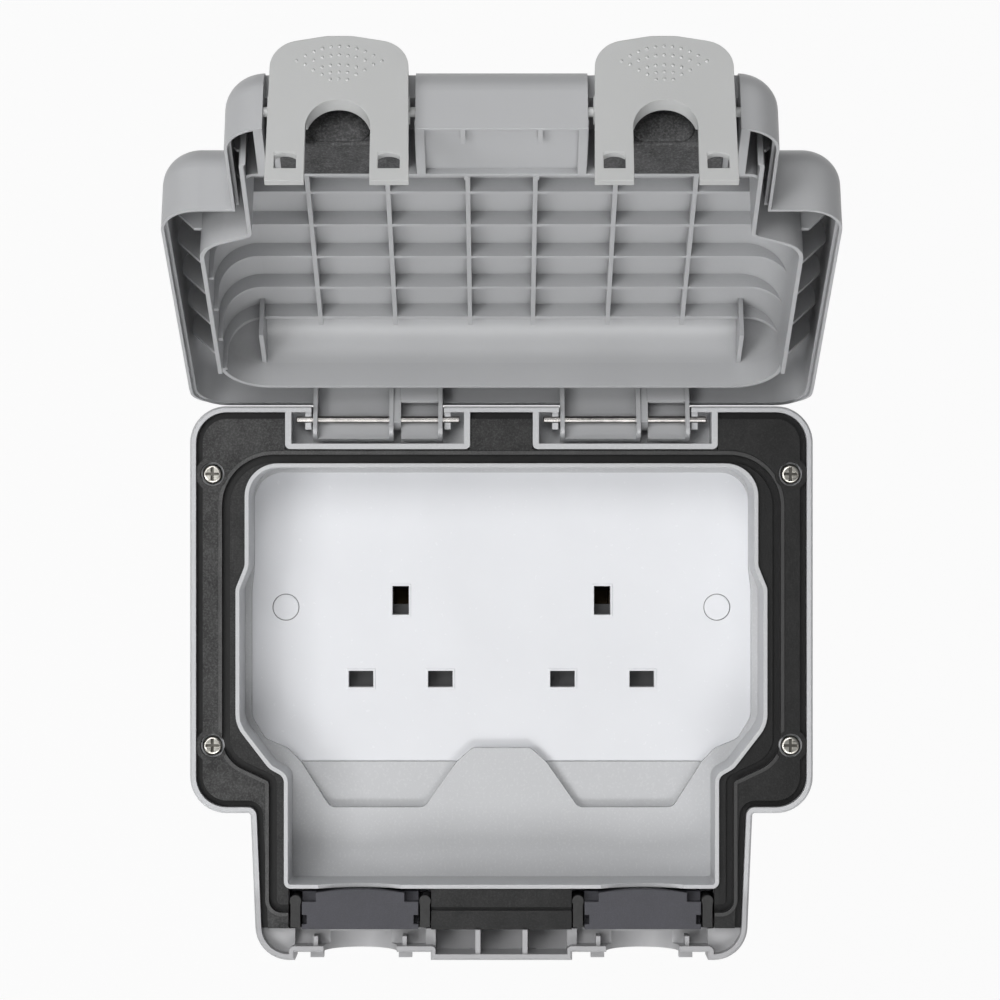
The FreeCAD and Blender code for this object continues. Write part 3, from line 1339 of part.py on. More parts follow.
def tub_ribs(cavity):
    """The grid of ribs on the floor of the lid."""
    slabs = []
    for number in range(3):
        for side, sign, _ in SIDES:
            x = f"{sign}(({number} + 0.5) * rib_across - rib_gather)"
            slabs.append(box(f"rib_up_{number}_{side}", (f"{x} - rib_thick / 2", f"{x} + rib_thick / 2"),
                             ("rim_depth", "rim_depth + lid_depth"),
                             ("-lid_drop", "2 * rib_pitch - rib_shift + rib_run_out")))
    for number, z in rib_places():
        slabs.append(box(f"rib_across_{number}", ("-lid_half", "lid_half"),
                         ("rim_depth", "rim_depth + lid_depth"),
                         (f"{z} - rib_thick / 2", f"{z} + rib_thick / 2")))
    wall = "tub_wall + rib_wrap"
    clear = soft_block("rib_clear", (f"-tub_half + {wall}", f"tub_half - {wall}"),
                       ("rim_depth - 5", "rim_depth + lid_depth - lid_skin - rib_height"),
                       (f"-tub_drop + {wall}", f"tub_top - {wall}"), f"tub_round - {wall}", "rib_soft")
    return cut("rib_grid", shared("rib_slabs", join("rib_boxes", *slabs), cavity), clear)


def skin_rib(name, way, inside, outside, z, bevel):
    """A web from the tub wall to the skin, its free corner cut away towards the skin."""
    inner, outer = f"{inside} - 0.5", f"{outside} - 0.5"
    ends = (inner, outer) if way > 0 else (f"-({outer})", f"-({inner})")
    web = box(f"{name}_web", ends, ("rim_depth + 5", "rim_depth + lid_depth - 0.5"),
              (f"{z} - rib_thick / 2", f"{z} + rib_thick / 2"))
    skin_side = size(outer) - 0.1
    near_rim = size("rim_depth + 5.1")
    return bevelled(name, web, bevel, lambda edge: edge_runs(edge, "z")
                    and abs(edge.CenterOfMass.x) > skin_side and edge_depth(edge) < near_rim)


def skin_ribs(outer, tub_inside):
    """The webs between the tub wall and the lid's skin."""
    webs = []
    for side, _, way in SIDES:
        for number, z in rib_places():
            webs.append(skin_rib(f"side_rib_{number}_{side}", way, "tub_half", "lid_half", z,
                                 "side_rib_bevel"))
        for number, drop in enumerate(("neck_rib_first", "neck_rib_next")):
            webs.append(skin_rib(f"neck_rib_{number}_{side}", way, "tub_neck_half", "lid_neck_half",
                                 f"-{drop}", "neck_rib_bevel"))
    limited = shared("skin_ribs_limited", join("skin_rib_webs", *webs), outer)
    keep_out = slab("rib_keep_out", tub_inside, "rim_depth - 5", "rim_depth + lid_depth")
    return cut("skin_ribs", limited, keep_out)


def hinge_arms(side, sign):
    """One hinge's share of the lid: two open boxes with holes for the pin."""
    middle = f"{sign}hinge_half_span"
    back = "rim_depth - hinge_behind_rim - arm_low"
    reach = (back, "rim_depth + arm_reach")
    high = "lid_top - 0.4"
    rear = box(f"arm_rear_{side}", (f"{middle} - arm_outer", f"{middle} + arm_outer"), reach,
               ("lid_top - lid_skin", "lid_top"))
    plates = []
    for name, start in (("outer", "- arm_outer"), ("inner", "+ arm_inner"), ("last", "+ arm_last")):
        low = f"{middle} {start}"
        plates.append(box(f"arm_{name}_{side}", (low, f"{low} + arm_plate"), reach, ("arm_lower_edge", high)))
    slot_back = "rim_depth - hinge_behind_rim - arm_slot_stop"
    slot_wide = (f"{middle} + arm_slot_from", f"{middle} + arm_slot_to")
    web = box(f"arm_web_{side}", slot_wide, (slot_back, "rim_depth + arm_reach"),
              ("arm_lower_edge + 0.4", high))
    bridge_low = "arm_lower_edge + 0.2"
    bridge = box(f"arm_bridge_{side}", (f"{middle} + arm_slot_to - 0.1", f"{middle} + arm_last + 0.1"),
                 ("rim_depth + arm_bridge_rise", "rim_depth + arm_reach"),
                 (bridge_low, f"{bridge_low} + arm_bridge_thick"))
    slot = box(f"arm_slot_{side}", slot_wide, ("rim_depth - 20", slot_back),
               ("lid_top - arm_slot_deep", "lid_top + 1"))
    bore = rod(f"arm_bore_{side}", "pin_radius + pin_clearance", "40", "right", f"{middle} - 20",
               HINGE_DEPTH, "hinge_up")
    lowest, rearmost = size("arm_lower_edge") + 0.1, size(back) + 0.1
    arms = rounded(f"arm_round_{side}", join(f"arm_body_{side}", rear, *plates), "arm_round",
                   lambda edge: edge_runs(edge, "x") and edge.CenterOfMass.z < lowest
                   and edge_depth(edge) < rearmost)
    return join(f"arm_set_{side}", arms, web, bridge), slot, bore


def latch_pockets(outer):
    """The recesses for the latches: what is cut from the lid, and the walls left round them."""
    cuts, walls = [], []
    inside_face = "rim_depth + lid_depth - 0.5"
    for side, sign, _ in SIDES:
        middle = f"{sign}latch_centre"
        reach = (f"{middle} - latch_pocket_half", f"{middle} + latch_pocket_half")
        roof = ("rim_depth + lid_seal_rise", "rim_depth + lid_seal_rise + seal_cheek")
        cuts.append(box(f"latch_cut_{side}", reach, ("rim_depth - 5", "rim_depth + lid_depth + 1"),
                        ("-lid_drop - 2", "-latch_pocket_drop")))
        walls.append(box(f"latch_wall_{side}", (f"{reach[0]} - lid_skin", f"{reach[1]} + lid_skin"),
                         (f"{roof[0]} + latch_wall_gap", inside_face),
                         ("-latch_pocket_drop", "-latch_pocket_drop + lid_skin")))
        walls.append(box(f"seal_roof_{side}", reach, roof, ("-latch_pocket_drop", "-tub_drop + 0.5")))
        for end, low in (("a", f"{reach[0]} - latch_cheek"), ("b", reach[1])):
            walls.append(box(f"latch_cheek_{side}_{end}", (low, f"{low} + latch_cheek"),
                             ("rim_depth + lid_gap", inside_face), ("-lid_drop + 0.4", "-tub_drop + 0.5")))
        for end, turn in ENDS:
            low = f"{middle} {turn} (lid_seal_half + seal_play / 3)"
            low += " - seal_cheek" if turn == "-" else ""
            walls.append(box(f"seal_cheek_{side}_{end}", (low, f"{low} + seal_cheek"),
                             ("rim_depth + ledge_rise", inside_face),
                             ("-latch_pocket_drop + 0.2", "-tub_drop + 0.5")))
    return cuts, shared("latch_walls", join("latch_wall_boxes", *walls), outer)


def latch_bores():
    """The holes in the lid that the latches turn in."""
    bores = []
    for side, sign, _ in SIDES:
        bores.append(rod(f"latch_bore_{side}", "latch_pivot_radius + latch_pivot_clearance",
                         "2 * latch_pocket_half + 3", "right",
                         f"{sign}latch_centre - latch_pocket_half - 1.5",
                         "rim_depth + latch_pivot_rise", "-latch_pivot_drop"))
    return bores


def lid_skin_shell(outer):
    """The lid's outer skin, open at the rim, stepped at its edge and sloped above the hinges."""
    all_wide = ("-half_width - 5", "half_width + 5")
    rim_cut = box("lid_rim_cut", all_wide, ("rim_depth - 6", "rim_depth + lid_gap"),
                  ("-lid_drop - 5", "lid_top + 5"))
    slope = "lid_hinge_ramp / (lid_hinge_cut - lid_gap) * (lid_hinge_cut + 6)"
    hinge_cut = ramp("lid_hinge_trim", all_wide, ("rim_depth - 6", "rim_depth + lid_hinge_cut"),
                     (f"lid_top - 2 - {slope}", "lid_top + 5"), ("lid_top - 2", "lid_top + 5"))
    edge_limit = box("lid_rebate_limit", ("-half_width", "half_width"),
                     ("rim_depth - 5", "rim_depth + lid_rebate_deep"), ("-lid_drop", "lid_top"))
    rebate = shared("lid_rebate_form", lid_form("lid_rebate_block", "lid_rebate"), edge_limit)
    inner = lid_form("lid_inner", "lid_skin")
    return cut("lid_skin_solid", outer, inner, rebate, rim_cut, hinge_cut), inner


def lid_tub(outer, inner, tub_inside):
    """The inner tub whose wall presses into the gasket, and the hollow inside it."""
    far = "rim_depth + lid_depth"
    soft = soft_block("tub_soft", ("-tub_half + tub_wall", "tub_half - tub_wall"),
                      ("rim_depth - 5", f"{far} - lid_skin"), ("-tub_drop + tub_wall", "tub_top - tub_wall"),
                      "tub_round - tub_wall", "tub_soft")
    cavity = shared("tub_cavity", slab("tub_cavity_slab", tub_inside, "rim_depth - 5", far), soft, inner)
    block = shared("tub_block", slab("tub_slab", tub_plan, "rim_depth - tub_reach", f"{far} - 0.5"), outer)
    end_trim = box("tub_end_trim", ("-tub_neck_half + tub_wall", "tub_neck_half - tub_wall"),
                   ("rim_depth - 5", "rim_depth + lid_gap"), ("-tub_drop - 1", "-tub_drop + tub_wall + 3"))
    return cut("tub_solid", block, cavity, end_trim), cavity


def lid_seal_wall(outer):
    """The wall that carries the tub's edge on towards the foot."""
    far = "rim_depth + lid_depth"
    wall = shared("seal_wall_block",
                  slab("seal_wall_slab", seal_wall_plan, "rim_depth - tub_reach", f"{far} - 0.5"), outer)
    return cut("seal_wall", wall, slab("seal_wall_core", seal_wall_inside_plan, "rim_depth - 5", far),
               box("seal_wall_trim", ("-half_width", "half_width"), ("rim_depth - 5", far),
                   ("-lid_drop", "-seal_wall_end")))


def lid_ledge():
    """The ledge between the latches, with two short ribs, and a gusset in each upper corner of the tub."""
    ledge_end = "latch_centre - latch_pocket_half + 0.2"
    pieces = [box("lid_ledge", (f"-({ledge_end})", ledge_end),
                  ("rim_depth + ledge_rise", "rim_depth + ledge_rise + ledge_thick"),
                  ("-lid_drop + 1", "-tub_drop + 0.5"))]
    for side, sign, _ in SIDES:
        at = f"{sign}ledge_rib_across"
        pieces.append(box(f"ledge_rib_{side}", (f"{at} - rib_thick / 2", f"{at} + rib_thick / 2"),
                          ("rim_depth + lid_gap", "rim_depth + ledge_rise + 0.5"),
                          ("-lid_drop + 0.5", "-lid_drop + 0.5 + ledge_rib_long")))
        at = f"{sign}gusset_across"
        pieces.append(box(f"corner_gusset_{side}", (f"{at} - rib_thick / 2", f"{at} + rib_thick / 2"),
                          ("rim_depth + lid_depth - 0.5 - gusset_deep", "rim_depth + lid_depth - 0.5"),
                          ("tub_top - gusset_long", "tub_top - 0.5")))
    return pieces


def make_lid():
    """The lid: an outer skin, an inner tub whose wall presses into the gasket, and ribs."""
    outer = lid_form("lid_outer", "0")
    skin, inner = lid_skin_shell(outer)
    tub_inside = grown("tub_inside_plan", tub_plan, "-tub_wall")
    tub, cavity = lid_tub(outer, inner, tub_inside)
    near_trim = box("tub_near_trim", ("-half_width", "half_width"),
                    ("rim_depth - 5", "rim_depth + tub_near_rise"), ("tub_top - tub_near_from", "lid_top"))
    cuts, walls = latch_pockets(outer)
    arms, slots, bores = zip(*(hinge_arms(side, sign) for side, sign, _ in SIDES))
    body = join("lid_body", cut("lid_skin_open", skin, *cuts), cut("lid_tub_open", tub, *cuts, near_trim),
                cut("seal_wall_open", lid_seal_wall(outer), near_trim), tub_ribs(cavity),
                skin_ribs(outer, tub_inside), *lid_ledge(), walls, *arms)
    whole = cut("lid_solid", body, *slots, *bores, *latch_bores())
    return node("lid_shell", swung(whole))


def latch_ears(side, middle, face):
    """The ears of a latch and the stubs on them that it turns on."""
    ears = []
    rise = "rim_depth + latch_pivot_rise"
    for end, turn in ENDS:
        low = f"{middle} {turn} latch_half" + ("" if turn == "-" else " - latch_ear")
        ears.append(box(f"latch_ear_{side}_{end}", (low, f"{low} + latch_ear"),
                        (f"{rise} - latch_ear_half", f"{rise} + latch_ear_half"),
                        (f"{face} - 0.5", "-latch_pivot_drop + 2")))
        start = f"{middle} {turn} latch_half"
        start += " - latch_side_play - 1.2" if turn == "-" else " - 0.5"
        ears.append(rod(f"latch_stub_{side}_{end}", "latch_pivot_radius", "latch_side_play + 1.7", "right",
                        start, rise, "-latch_pivot_drop"))
    return ears


def make_latches():
    """The two levers that hold the lid shut. Each turns on stubs in the lid and hooks under tabs."""
    latch_plan = outline("latch_plan", [
        ("latch_half", "-rim_depth + latch_hook_reach", None),
        ("latch_thumb_half", "-rim_depth - latch_thumb_reach + latch_apex", "latch_round"),
        ("latch_apex_half", "-rim_depth - latch_thumb_reach", "latch_apex_round"),
    ], facing="up")
    face = "-latch_wall_drop - latch_gap"
    outside = f"{face} - latch_thick - 1"
    inside = f"{face} + latch_collar_deep"
    arch = "rim_depth + latch_slot_top - latch_slot_half"
    for side, sign, _ in SIDES:
        middle = f"{sign}latch_centre"
        plate = place(plank(f"latch_plate_{side}", latch_plan, f"{face} - latch_thick", face), middle)
        collar = shared(f"latch_collar_{side}",
                        rod(f"latch_collar_round_{side}", "latch_slot_half + latch_collar",
                            "latch_collar_deep + 0.5", "up", middle, arch, f"{face} - 0.5"),
                        box(f"latch_collar_half_{side}", (f"{middle} - latch_half", f"{middle} + latch_half"),
                            ("rim_depth + 0.8", "rim_depth + latch_thumb_reach"), (f"{face} - 1", inside)))
        cuts = [rod(f"latch_slot_round_{side}", "latch_slot_half", "latch_thick + 2 + latch_collar_deep",
                    "up", middle, arch, outside),
                box(f"latch_slot_open_{side}", (f"{middle} - latch_slot_half", f"{middle} + latch_slot_half"),
                    ("rim_depth - latch_hook_reach - 1", arch), (outside, f"{inside} + 1"))]
        for end, turn in ENDS:
            at = f"{middle} {turn} latch_window_offset"
            cuts.append(box(f"latch_window_{side}_{end}",
                            (f"{at} - latch_window_half", f"{at} + latch_window_half"),
                            ("rim_depth - latch_window_low", "rim_depth - latch_window_high"),
                            (outside, f"{face} + 1")))
        opened = cut(f"latch_cut_plate_{side}", join(f"latch_collared_{side}", plate, collar), *cuts)
        node(f"latch_{side}", swung(join(f"latch_{side}_solid", opened, *latch_ears(side, middle, face))))


def make_earth_terminal():
    """The brass earth terminal on the floor of the box, with its screw."""
    x, z = "earth_block_across", "-earth_block_drop"
    half = "earth_block_half"
    back = "box_back + earth_seat_rise"
    front = f"{back} + earth_block_deep"
    block = box("earth_block", (f"{x} - {half}", f"{x} + {half}"), (back, front),
                (f"{z} - {half}", f"{z} + {half}"))
    wire = rod("earth_wire_hole", "wire_hole_radius", f"2 * {half} + 2", "up", x, f"{back} + {half}",
               f"{z} - {half} - 1")
    thread = rod("earth_thread", "earth_screw_radius + screw_clearance", f"{half} + 1", "front", x,
                 f"{back} + {half}", z)
    node("earth_terminal", cut("earth_terminal_solid", block, wire, thread))
    screw = join("earth_screw_solid",
                 rod("earth_screw_head", "small_head_radius", "small_head_thick", "front", x, front, z),
                 rod("earth_screw_shank", "earth_screw_radius", "3", "front", x, f"{front} - 2.3", z))
    node("earth_screw", screw)


make_back_box()
make_box_seal()
make_entry_plugs()
make_front_frame()
make_frame_gasket()
make_frame_screws()
make_socket_plate()
make_plate_fixings()
make_housing()
make_contacts()
make_shutters()
make_cable_seals()
make_hinge_pins()
make_lid()
make_latches()
make_earth_terminal()
doc.recompute()

faults = [item.Name for item in doc.Objects if "Invalid" in item.State or "Error" in item.State]
for piece in NODES:
    if piece.Shape.isNull() or not piece.Shape.isValid() or not piece.Shape.Solids:
        faults.append(f"{piece.Label} has no sound shape")
if faults:
    raise SystemExit("not built: " + ", ".join(faults))

os.makedirs("parts", exist_ok=True)
for piece in NODES:
    piece.Shape.exportStep(os.path.join("parts", piece.Label + ".step"))
    box_size = piece.Shape.BoundBox
    print(f"{piece.Label}: {len(piece.Shape.Solids)} solid, {box_size.XLength:.1f} x "
          f"{box_size.YLength:.1f} x {box_size.ZLength:.1f} mm")
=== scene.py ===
# %% [markdown]
# # Dressing an outdoor socket
# The solids of the socket come from the frame, with their real sizes and joints. This file
# gives them their finishes, adds the small moulded details that the solids leave out, and
# sets up the studio. Lengths are metres. The wall is y = 0, the front faces -y and z is up.

# %% load the frame
import json
import math

import bpy
from mathutils import Matrix, Vector


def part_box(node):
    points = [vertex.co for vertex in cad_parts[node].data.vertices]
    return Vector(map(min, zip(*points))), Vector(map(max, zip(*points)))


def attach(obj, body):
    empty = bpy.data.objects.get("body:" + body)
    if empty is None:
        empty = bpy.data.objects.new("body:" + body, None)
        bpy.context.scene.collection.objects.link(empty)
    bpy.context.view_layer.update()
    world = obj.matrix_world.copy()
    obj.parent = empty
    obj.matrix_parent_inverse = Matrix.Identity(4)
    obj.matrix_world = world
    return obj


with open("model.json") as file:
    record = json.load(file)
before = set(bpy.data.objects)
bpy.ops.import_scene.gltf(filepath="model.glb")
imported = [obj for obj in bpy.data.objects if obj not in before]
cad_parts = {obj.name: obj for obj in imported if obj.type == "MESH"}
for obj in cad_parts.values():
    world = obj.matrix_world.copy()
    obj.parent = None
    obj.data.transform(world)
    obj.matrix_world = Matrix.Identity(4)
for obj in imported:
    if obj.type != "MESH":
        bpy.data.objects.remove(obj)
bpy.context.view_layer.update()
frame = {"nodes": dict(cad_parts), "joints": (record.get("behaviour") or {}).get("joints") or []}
MM = 0.001

# %% [markdown]
# ## Where things are on the lid
# The lid stands open at rest, and the small details sit on it. They could be placed by world
# coordinates, but those are hard to read on a tilted piece. So a place on the lid is given as
# on a closed one: how far out from the hinge, and how high over the rim. The angle at which
# the lid stands open turns both. The middle of a latch or a seal is read from the frame, and
# how far out its face lies is a size that this file holds.

# %% places on the lid
hinge = next(joint for joint in frame["joints"] if joint["name"] == "lid_hinge")
HINGE = Vector(hinge["pos_m"])
OPEN = math.radians(hinge["range_deg"][1])
OUTWARD = Vector((0.0, -math.sin(OPEN), -math.cos(OPEN)))
RISING = Vector((0.0, -math.cos(OPEN), math.sin(OPEN)))
RIM_BEHIND_HINGE = 3.5 * MM


def on_lid(x, out, rise):
    """The place of a lid point, given its distance out from the hinge and its rise over the rim."""
    return Vector((x, HINGE.y, HINGE.z)) + OUTWARD * out + RISING * (rise + RIM_BEHIND_HINGE)


print("hinge at", [round(v, 4) for v in HINGE], "open", round(math.degrees(OPEN), 1))

# %% [markdown]
# ## Camera
# The socket is seen straight on. A short lens close by would make the open lid loom over the
# plate, so a long lens stands about a metre away, and the picture narrows little with depth.
# Its focal length is given in pixels of the picture and turned into millimetres of lens.

# %% camera
CAMERA_AWAY = 937 * MM
CAMERA_UP = 30 * MM
CAMERA_RIGHT = -0.4 * MM
FOCAL_PIXELS = 3433
PICTURE_PIXELS = 1000
SENSOR = 36
FACING_THE_WALL = (math.pi / 2, 0, 0)

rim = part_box("front_frame")[0].y
bpy.ops.object.camera_add(location=(CAMERA_RIGHT, rim - CAMERA_AWAY, CAMERA_UP), rotation=FACING_THE_WALL)
camera = bpy.context.object
camera.name = "camera"
camera.data.sensor_width = SENSOR
camera.data.lens = SENSOR * FOCAL_PIXELS / PICTURE_PIXELS
camera.data.clip_start = 10 * MM
bpy.context.scene.camera = camera
print("lens", round(camera.data.lens, 1), "mm")

# %% [markdown]
# ## One small class for shader maths
# A material is a net of nodes, and written out node by node it is hard to read. This class
# wraps one socket, so that plain arithmetic on it adds the Math nodes. Any other node comes
# from the method `node`, which takes its type, its settings and its inputs.

# %% the shader helper


class Net:
    """One socket of a node tree, with arithmetic."""

    def __init__(self, tree, socket=None):
        self.tree = tree
        self.socket = socket

    def node(self, kind, settings=None, output=0, **inputs):
        """Adds a node. An input is given by its name, or by i and its number."""
        made = self.tree.nodes.new(kind)
        for name, value in (settings or {}).items():
            setattr(made, name, value)
        for name, value in inputs.items():
            numbered = name[0] == "i" and name[1:].isdigit()
            slot = made.inputs[int(name[1:]) if numbered else name.replace("_", " ")]
            if isinstance(value, Net):
                self.tree.links.new(value.socket, slot)
            else:
                slot.default_value = value
        return Net(self.tree, made.outputs[output])

    def maths(self, operation, *others):
        """A Math node on this value and the others."""
        inputs = {f"i{index}": value for index, value in enumerate((self, *others))}
        return self.node("ShaderNodeMath", {"operation": operation}, **inputs)

    def __add__(self, other):
        return self.maths("ADD", other)

    __radd__ = __add__

    def __mul__(self, other):
        return self.maths("MULTIPLY", other)

    __rmul__ = __mul__

    def __sub__(self, other):
        return self.maths("SUBTRACT", other)

    def __rsub__(self, other):
        return (self * -1) + other

    def __pow__(self, other):
        return self.maths("POWER", other)

    def clamped(self, low, high):
        """Runs from 0 to 1 as the value goes from low to high. Low may be the larger one."""
        return self.node("ShaderNodeMapRange", {"clamp": True}, i0=self, i1=low, i2=high)

    def mix(self, first, second):
        """A colour between two, by this value."""
        return self.node("ShaderNodeMix", {"data_type": "RGBA"}, output=2, i0=self, i6=first, i7=second)

    def along(self, axis):
        """How far a point lies along one axis of the piece."""
        return self.node("ShaderNodeSeparateXYZ", output=axis, Vector=self)


# %% [markdown]
# ## How a finish is put together
# A colour on the screen isn't the amount of light that a shader wants, so tones are written as
# they look and turned into light. Each finish reads the piece's own coordinates, so its
# pattern rides along when the piece moves. Sharp edges catch no light, and on the real pieces
# they are slightly round. They could all be bevelled in the mesh. A bevel in the shader gives
# much the same glint and leaves the solids alone.

# %% colours and the frame of a finish
BEVEL_SAMPLES = 6


def linear(value):
    """A screen value from 0 to 1 as the light value that a shader wants."""
    return value / 12.92 if value <= 0.04045 else ((value + 0.055) / 1.055) ** 2.4


def screen(red, green, blue):
    return (linear(red), linear(green), linear(blue), 1.0)


def grey(tone, red=1.0, green=1.0, blue=1.0):
    """A grey of this tone, with its channels as shares of the tone."""
    return screen(tone * red, tone * green, tone * blue)


def new_material(name, metallic=0.0, specular=0.5):
    """A material with its shader and the place of a point on its piece."""
    material = bpy.data.materials.new(name)
    material.use_nodes = True
    shader = material.node_tree.nodes["Principled BSDF"]
    shader.inputs["Metallic"].default_value = metallic
    shader.inputs["Specular IOR Level"].default_value = specular
    place = Net(material.node_tree).node("ShaderNodeTexCoord", output="Object")
    return material, shader, place


def finish_material(material, shader, colour, roughness, height, depth, edge):
    """Joins colour, roughness and a relief of this depth to the shader, with edges this round."""
    tree = material.node_tree
    rounded = Net(tree).node("ShaderNodeBevel", {"samples": BEVEL_SAMPLES}, Radius=edge)
    normal = rounded.node("ShaderNodeBump", Strength=1.0, Distance=depth, Height=height, Normal=rounded)
    for value, slot in ((colour, "Base Color"), (roughness, "Roughness"), (normal, "Normal")):
        tree.links.new(value.socket, shader.inputs[slot])
    return material


print("a grey of 0.5 gives", round(linear(0.5), 3), "of the light of white")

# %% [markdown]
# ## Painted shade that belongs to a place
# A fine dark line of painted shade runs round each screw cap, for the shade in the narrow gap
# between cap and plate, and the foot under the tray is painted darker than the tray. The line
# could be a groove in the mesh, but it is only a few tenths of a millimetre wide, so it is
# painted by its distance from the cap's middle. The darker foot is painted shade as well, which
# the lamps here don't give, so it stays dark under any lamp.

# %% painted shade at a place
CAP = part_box("screw_cap_right")
CAP_ACROSS = (CAP[0].x + CAP[1].x) / 2
CAP_UP = (CAP[0].z + CAP[1].z) / 2
RING_RADIUS = 3.63 * MM
RING_EDGE = 0.19 * MM
RING_DARKEST = 0.08 * MM
TRAY_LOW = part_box("foot_gasket")[1].z
FOOT_SHADE_STARTS = TRAY_LOW + 1.5 * MM
FOOT_SHADE_FULL = TRAY_LOW - 3.0 * MM


def cap_gap_shade(place):
    """1 on the painted shade in the narrow gap round each screw cap, 0 elsewhere."""
    across = place.along("X").maths("ABSOLUTE") - CAP_ACROSS
    up = place.along("Z") - CAP_UP
    from_ring = ((across * across + up * up) ** 0.5 - RING_RADIUS).maths("ABSOLUTE")
    return from_ring.clamped(RING_EDGE, RING_DARKEST)


def foot_shade(place):
    """1 on the painted shade in the foot under the tray and 0 above it."""
    return place.along("Z").clamped(FOOT_SHADE_STARTS, FOOT_SHADE_FULL)


print("caps", round(CAP_ACROSS / MM, 1), "mm to each side, tray ends at", round(TRAY_LOW / MM, 1), "mm")

# %% [markdown]
# ## Moulded plastic
# The enclosure is grey moulded plastic with a fine grain, and the lid looks smoother than the
# frame. The socket plate and the caps are glossy white. One flat colour would be enough to
# tell them apart, but it reads as a drawing. So each has a slow drift in tone and a fine
# relief, and its roughness follows the grain. The narrow gaps of the lid look darker than
# the lamps here make them. A node that asks how open a place is finds them, and the finish
# darkens them, under any lamp.

# %% plastics
PLASTIC_EDGE = 0.25 * MM
DRIFT_SCALE = 28.0
SPECKLE_SCALE = 1500.0
GAP_REACH = 14 * MM
GAP_SAMPLES = 6
GAP_STARTS, GAP_FULL = 0.55, 0.1
GAP_TONE = 0.4


def moulded(name, tone, grain, relief, rough, warm=0.0, speckle=0.0, specular=0.4, painted_shade=None,
            painted_shade_tone=0.0, gap_shade=0.0):
    """Moulded plastic. A pale speckle, painted shade at a place in its own tone, and painted shade
    in narrow gaps are added where they are asked for."""
    material, shader, place = new_material(name, specular=specular)
    drift = place.node("ShaderNodeTexNoise", Vector=place, Scale=DRIFT_SCALE, Detail=3.0, Roughness=0.5)
    fine = place.node("ShaderNodeTexNoise", Vector=place, Scale=grain, Detail=2.0, Roughness=0.6)
    light = grey(tone, 1.005, 1.01, 1.02 - warm)
    dark = grey(tone, 0.985, 0.99, 1.0 - warm)
    colour = drift.clamped(0.3, 0.7).mix(dark, light)
    if speckle:
        spots = place.node("ShaderNodeTexNoise", Vector=place, Scale=SPECKLE_SCALE, Detail=1.0, Roughness=0.4)
        pale = grey(tone, 1.09, 1.095, 1.1 - warm)
        colour = (spots.clamped(0.56, 0.68) * speckle).mix(colour, pale)
    # painted shade at a place, such as the gap round a cap or the foot
    if painted_shade:
        colour = painted_shade(place).mix(colour, grey(painted_shade_tone, blue=1.01))
    if gap_shade:
        open_air = place.node("ShaderNodeAmbientOcclusion", {"samples": GAP_SAMPLES, "only_local": True},
                              output="AO", Distance=GAP_REACH)
        gap = open_air.clamped(GAP_STARTS, GAP_FULL) * gap_shade
        colour = gap.mix(colour, grey(tone * GAP_TONE, blue=1.025))
    roughness = rough + (fine - 0.5) * 0.16
    return finish_material(material, shader, colour, roughness, fine + drift * 0.4, relief, PLASTIC_EDGE)


GLOSSY_WHITE = {"tone": 0.885, "warm": -0.004, "grain": 700.0, "relief": 0.004 * MM, "rough": 0.24,
                "specular": 0.5}
FRAME_GREY = moulded("frame_plastic", tone=0.745, grain=1900.0, relief=0.03 * MM, rough=0.46, speckle=0.3,
                     painted_shade=foot_shade, painted_shade_tone=0.66)
LID_GREY = moulded("lid_plastic", tone=0.72, grain=900.0, relief=0.008 * MM, rough=0.38, gap_shade=0.8)
LATCH_GREY = moulded("latch_plastic", tone=0.755, grain=2300.0, relief=0.02 * MM, rough=0.48, warm=0.012)
BOX_GREY = moulded("box_plastic", tone=0.70, grain=1700.0, relief=0.04 * MM, rough=0.5)
WHITE = moulded("white_plastic", **GLOSSY_WHITE)
PLATE_WHITE = moulded("plate_plastic", painted_shade=cap_gap_shade, painted_shade_tone=0.42, **GLOSSY_WHITE)
DARK = moulded("dark_plastic", tone=0.24, grain=1500.0, relief=0.02 * MM, rough=0.45)
print("plastics made")

# %% [markdown]
# ## Rubber and foam
# The gasket is black rubber with pale patches of dust on its raised parts. Its grooves between
# them are painted darker by depth, as painted shade, and the crests get a painted highlight. It
# looks lighter on the left, so the patches are made stronger there, which paints light from the
# left on top of the dust. The cable seals of the base look like grey foam, and those of the lid
# like dusty rubber. A photograph of rubber could be laid over them, but a pattern made from
# noise has no seams and fits a piece of any shape.

# %% rubber and foam
PATCH_SCALE = 170.0
PALE_NONE, PALE_MOST = 85 * MM, -60 * MM
GROOVE_SHADE_TONE = 0.5
CREST_HIGHLIGHT_STARTS, CREST_HIGHLIGHT_FULL = 0.85, 0.95
CREST_HIGHLIGHT_SHARE = 0.3
RUBBER_RELIEF = 0.06 * MM
GROOVE_DEPTH = 1.5 * MM


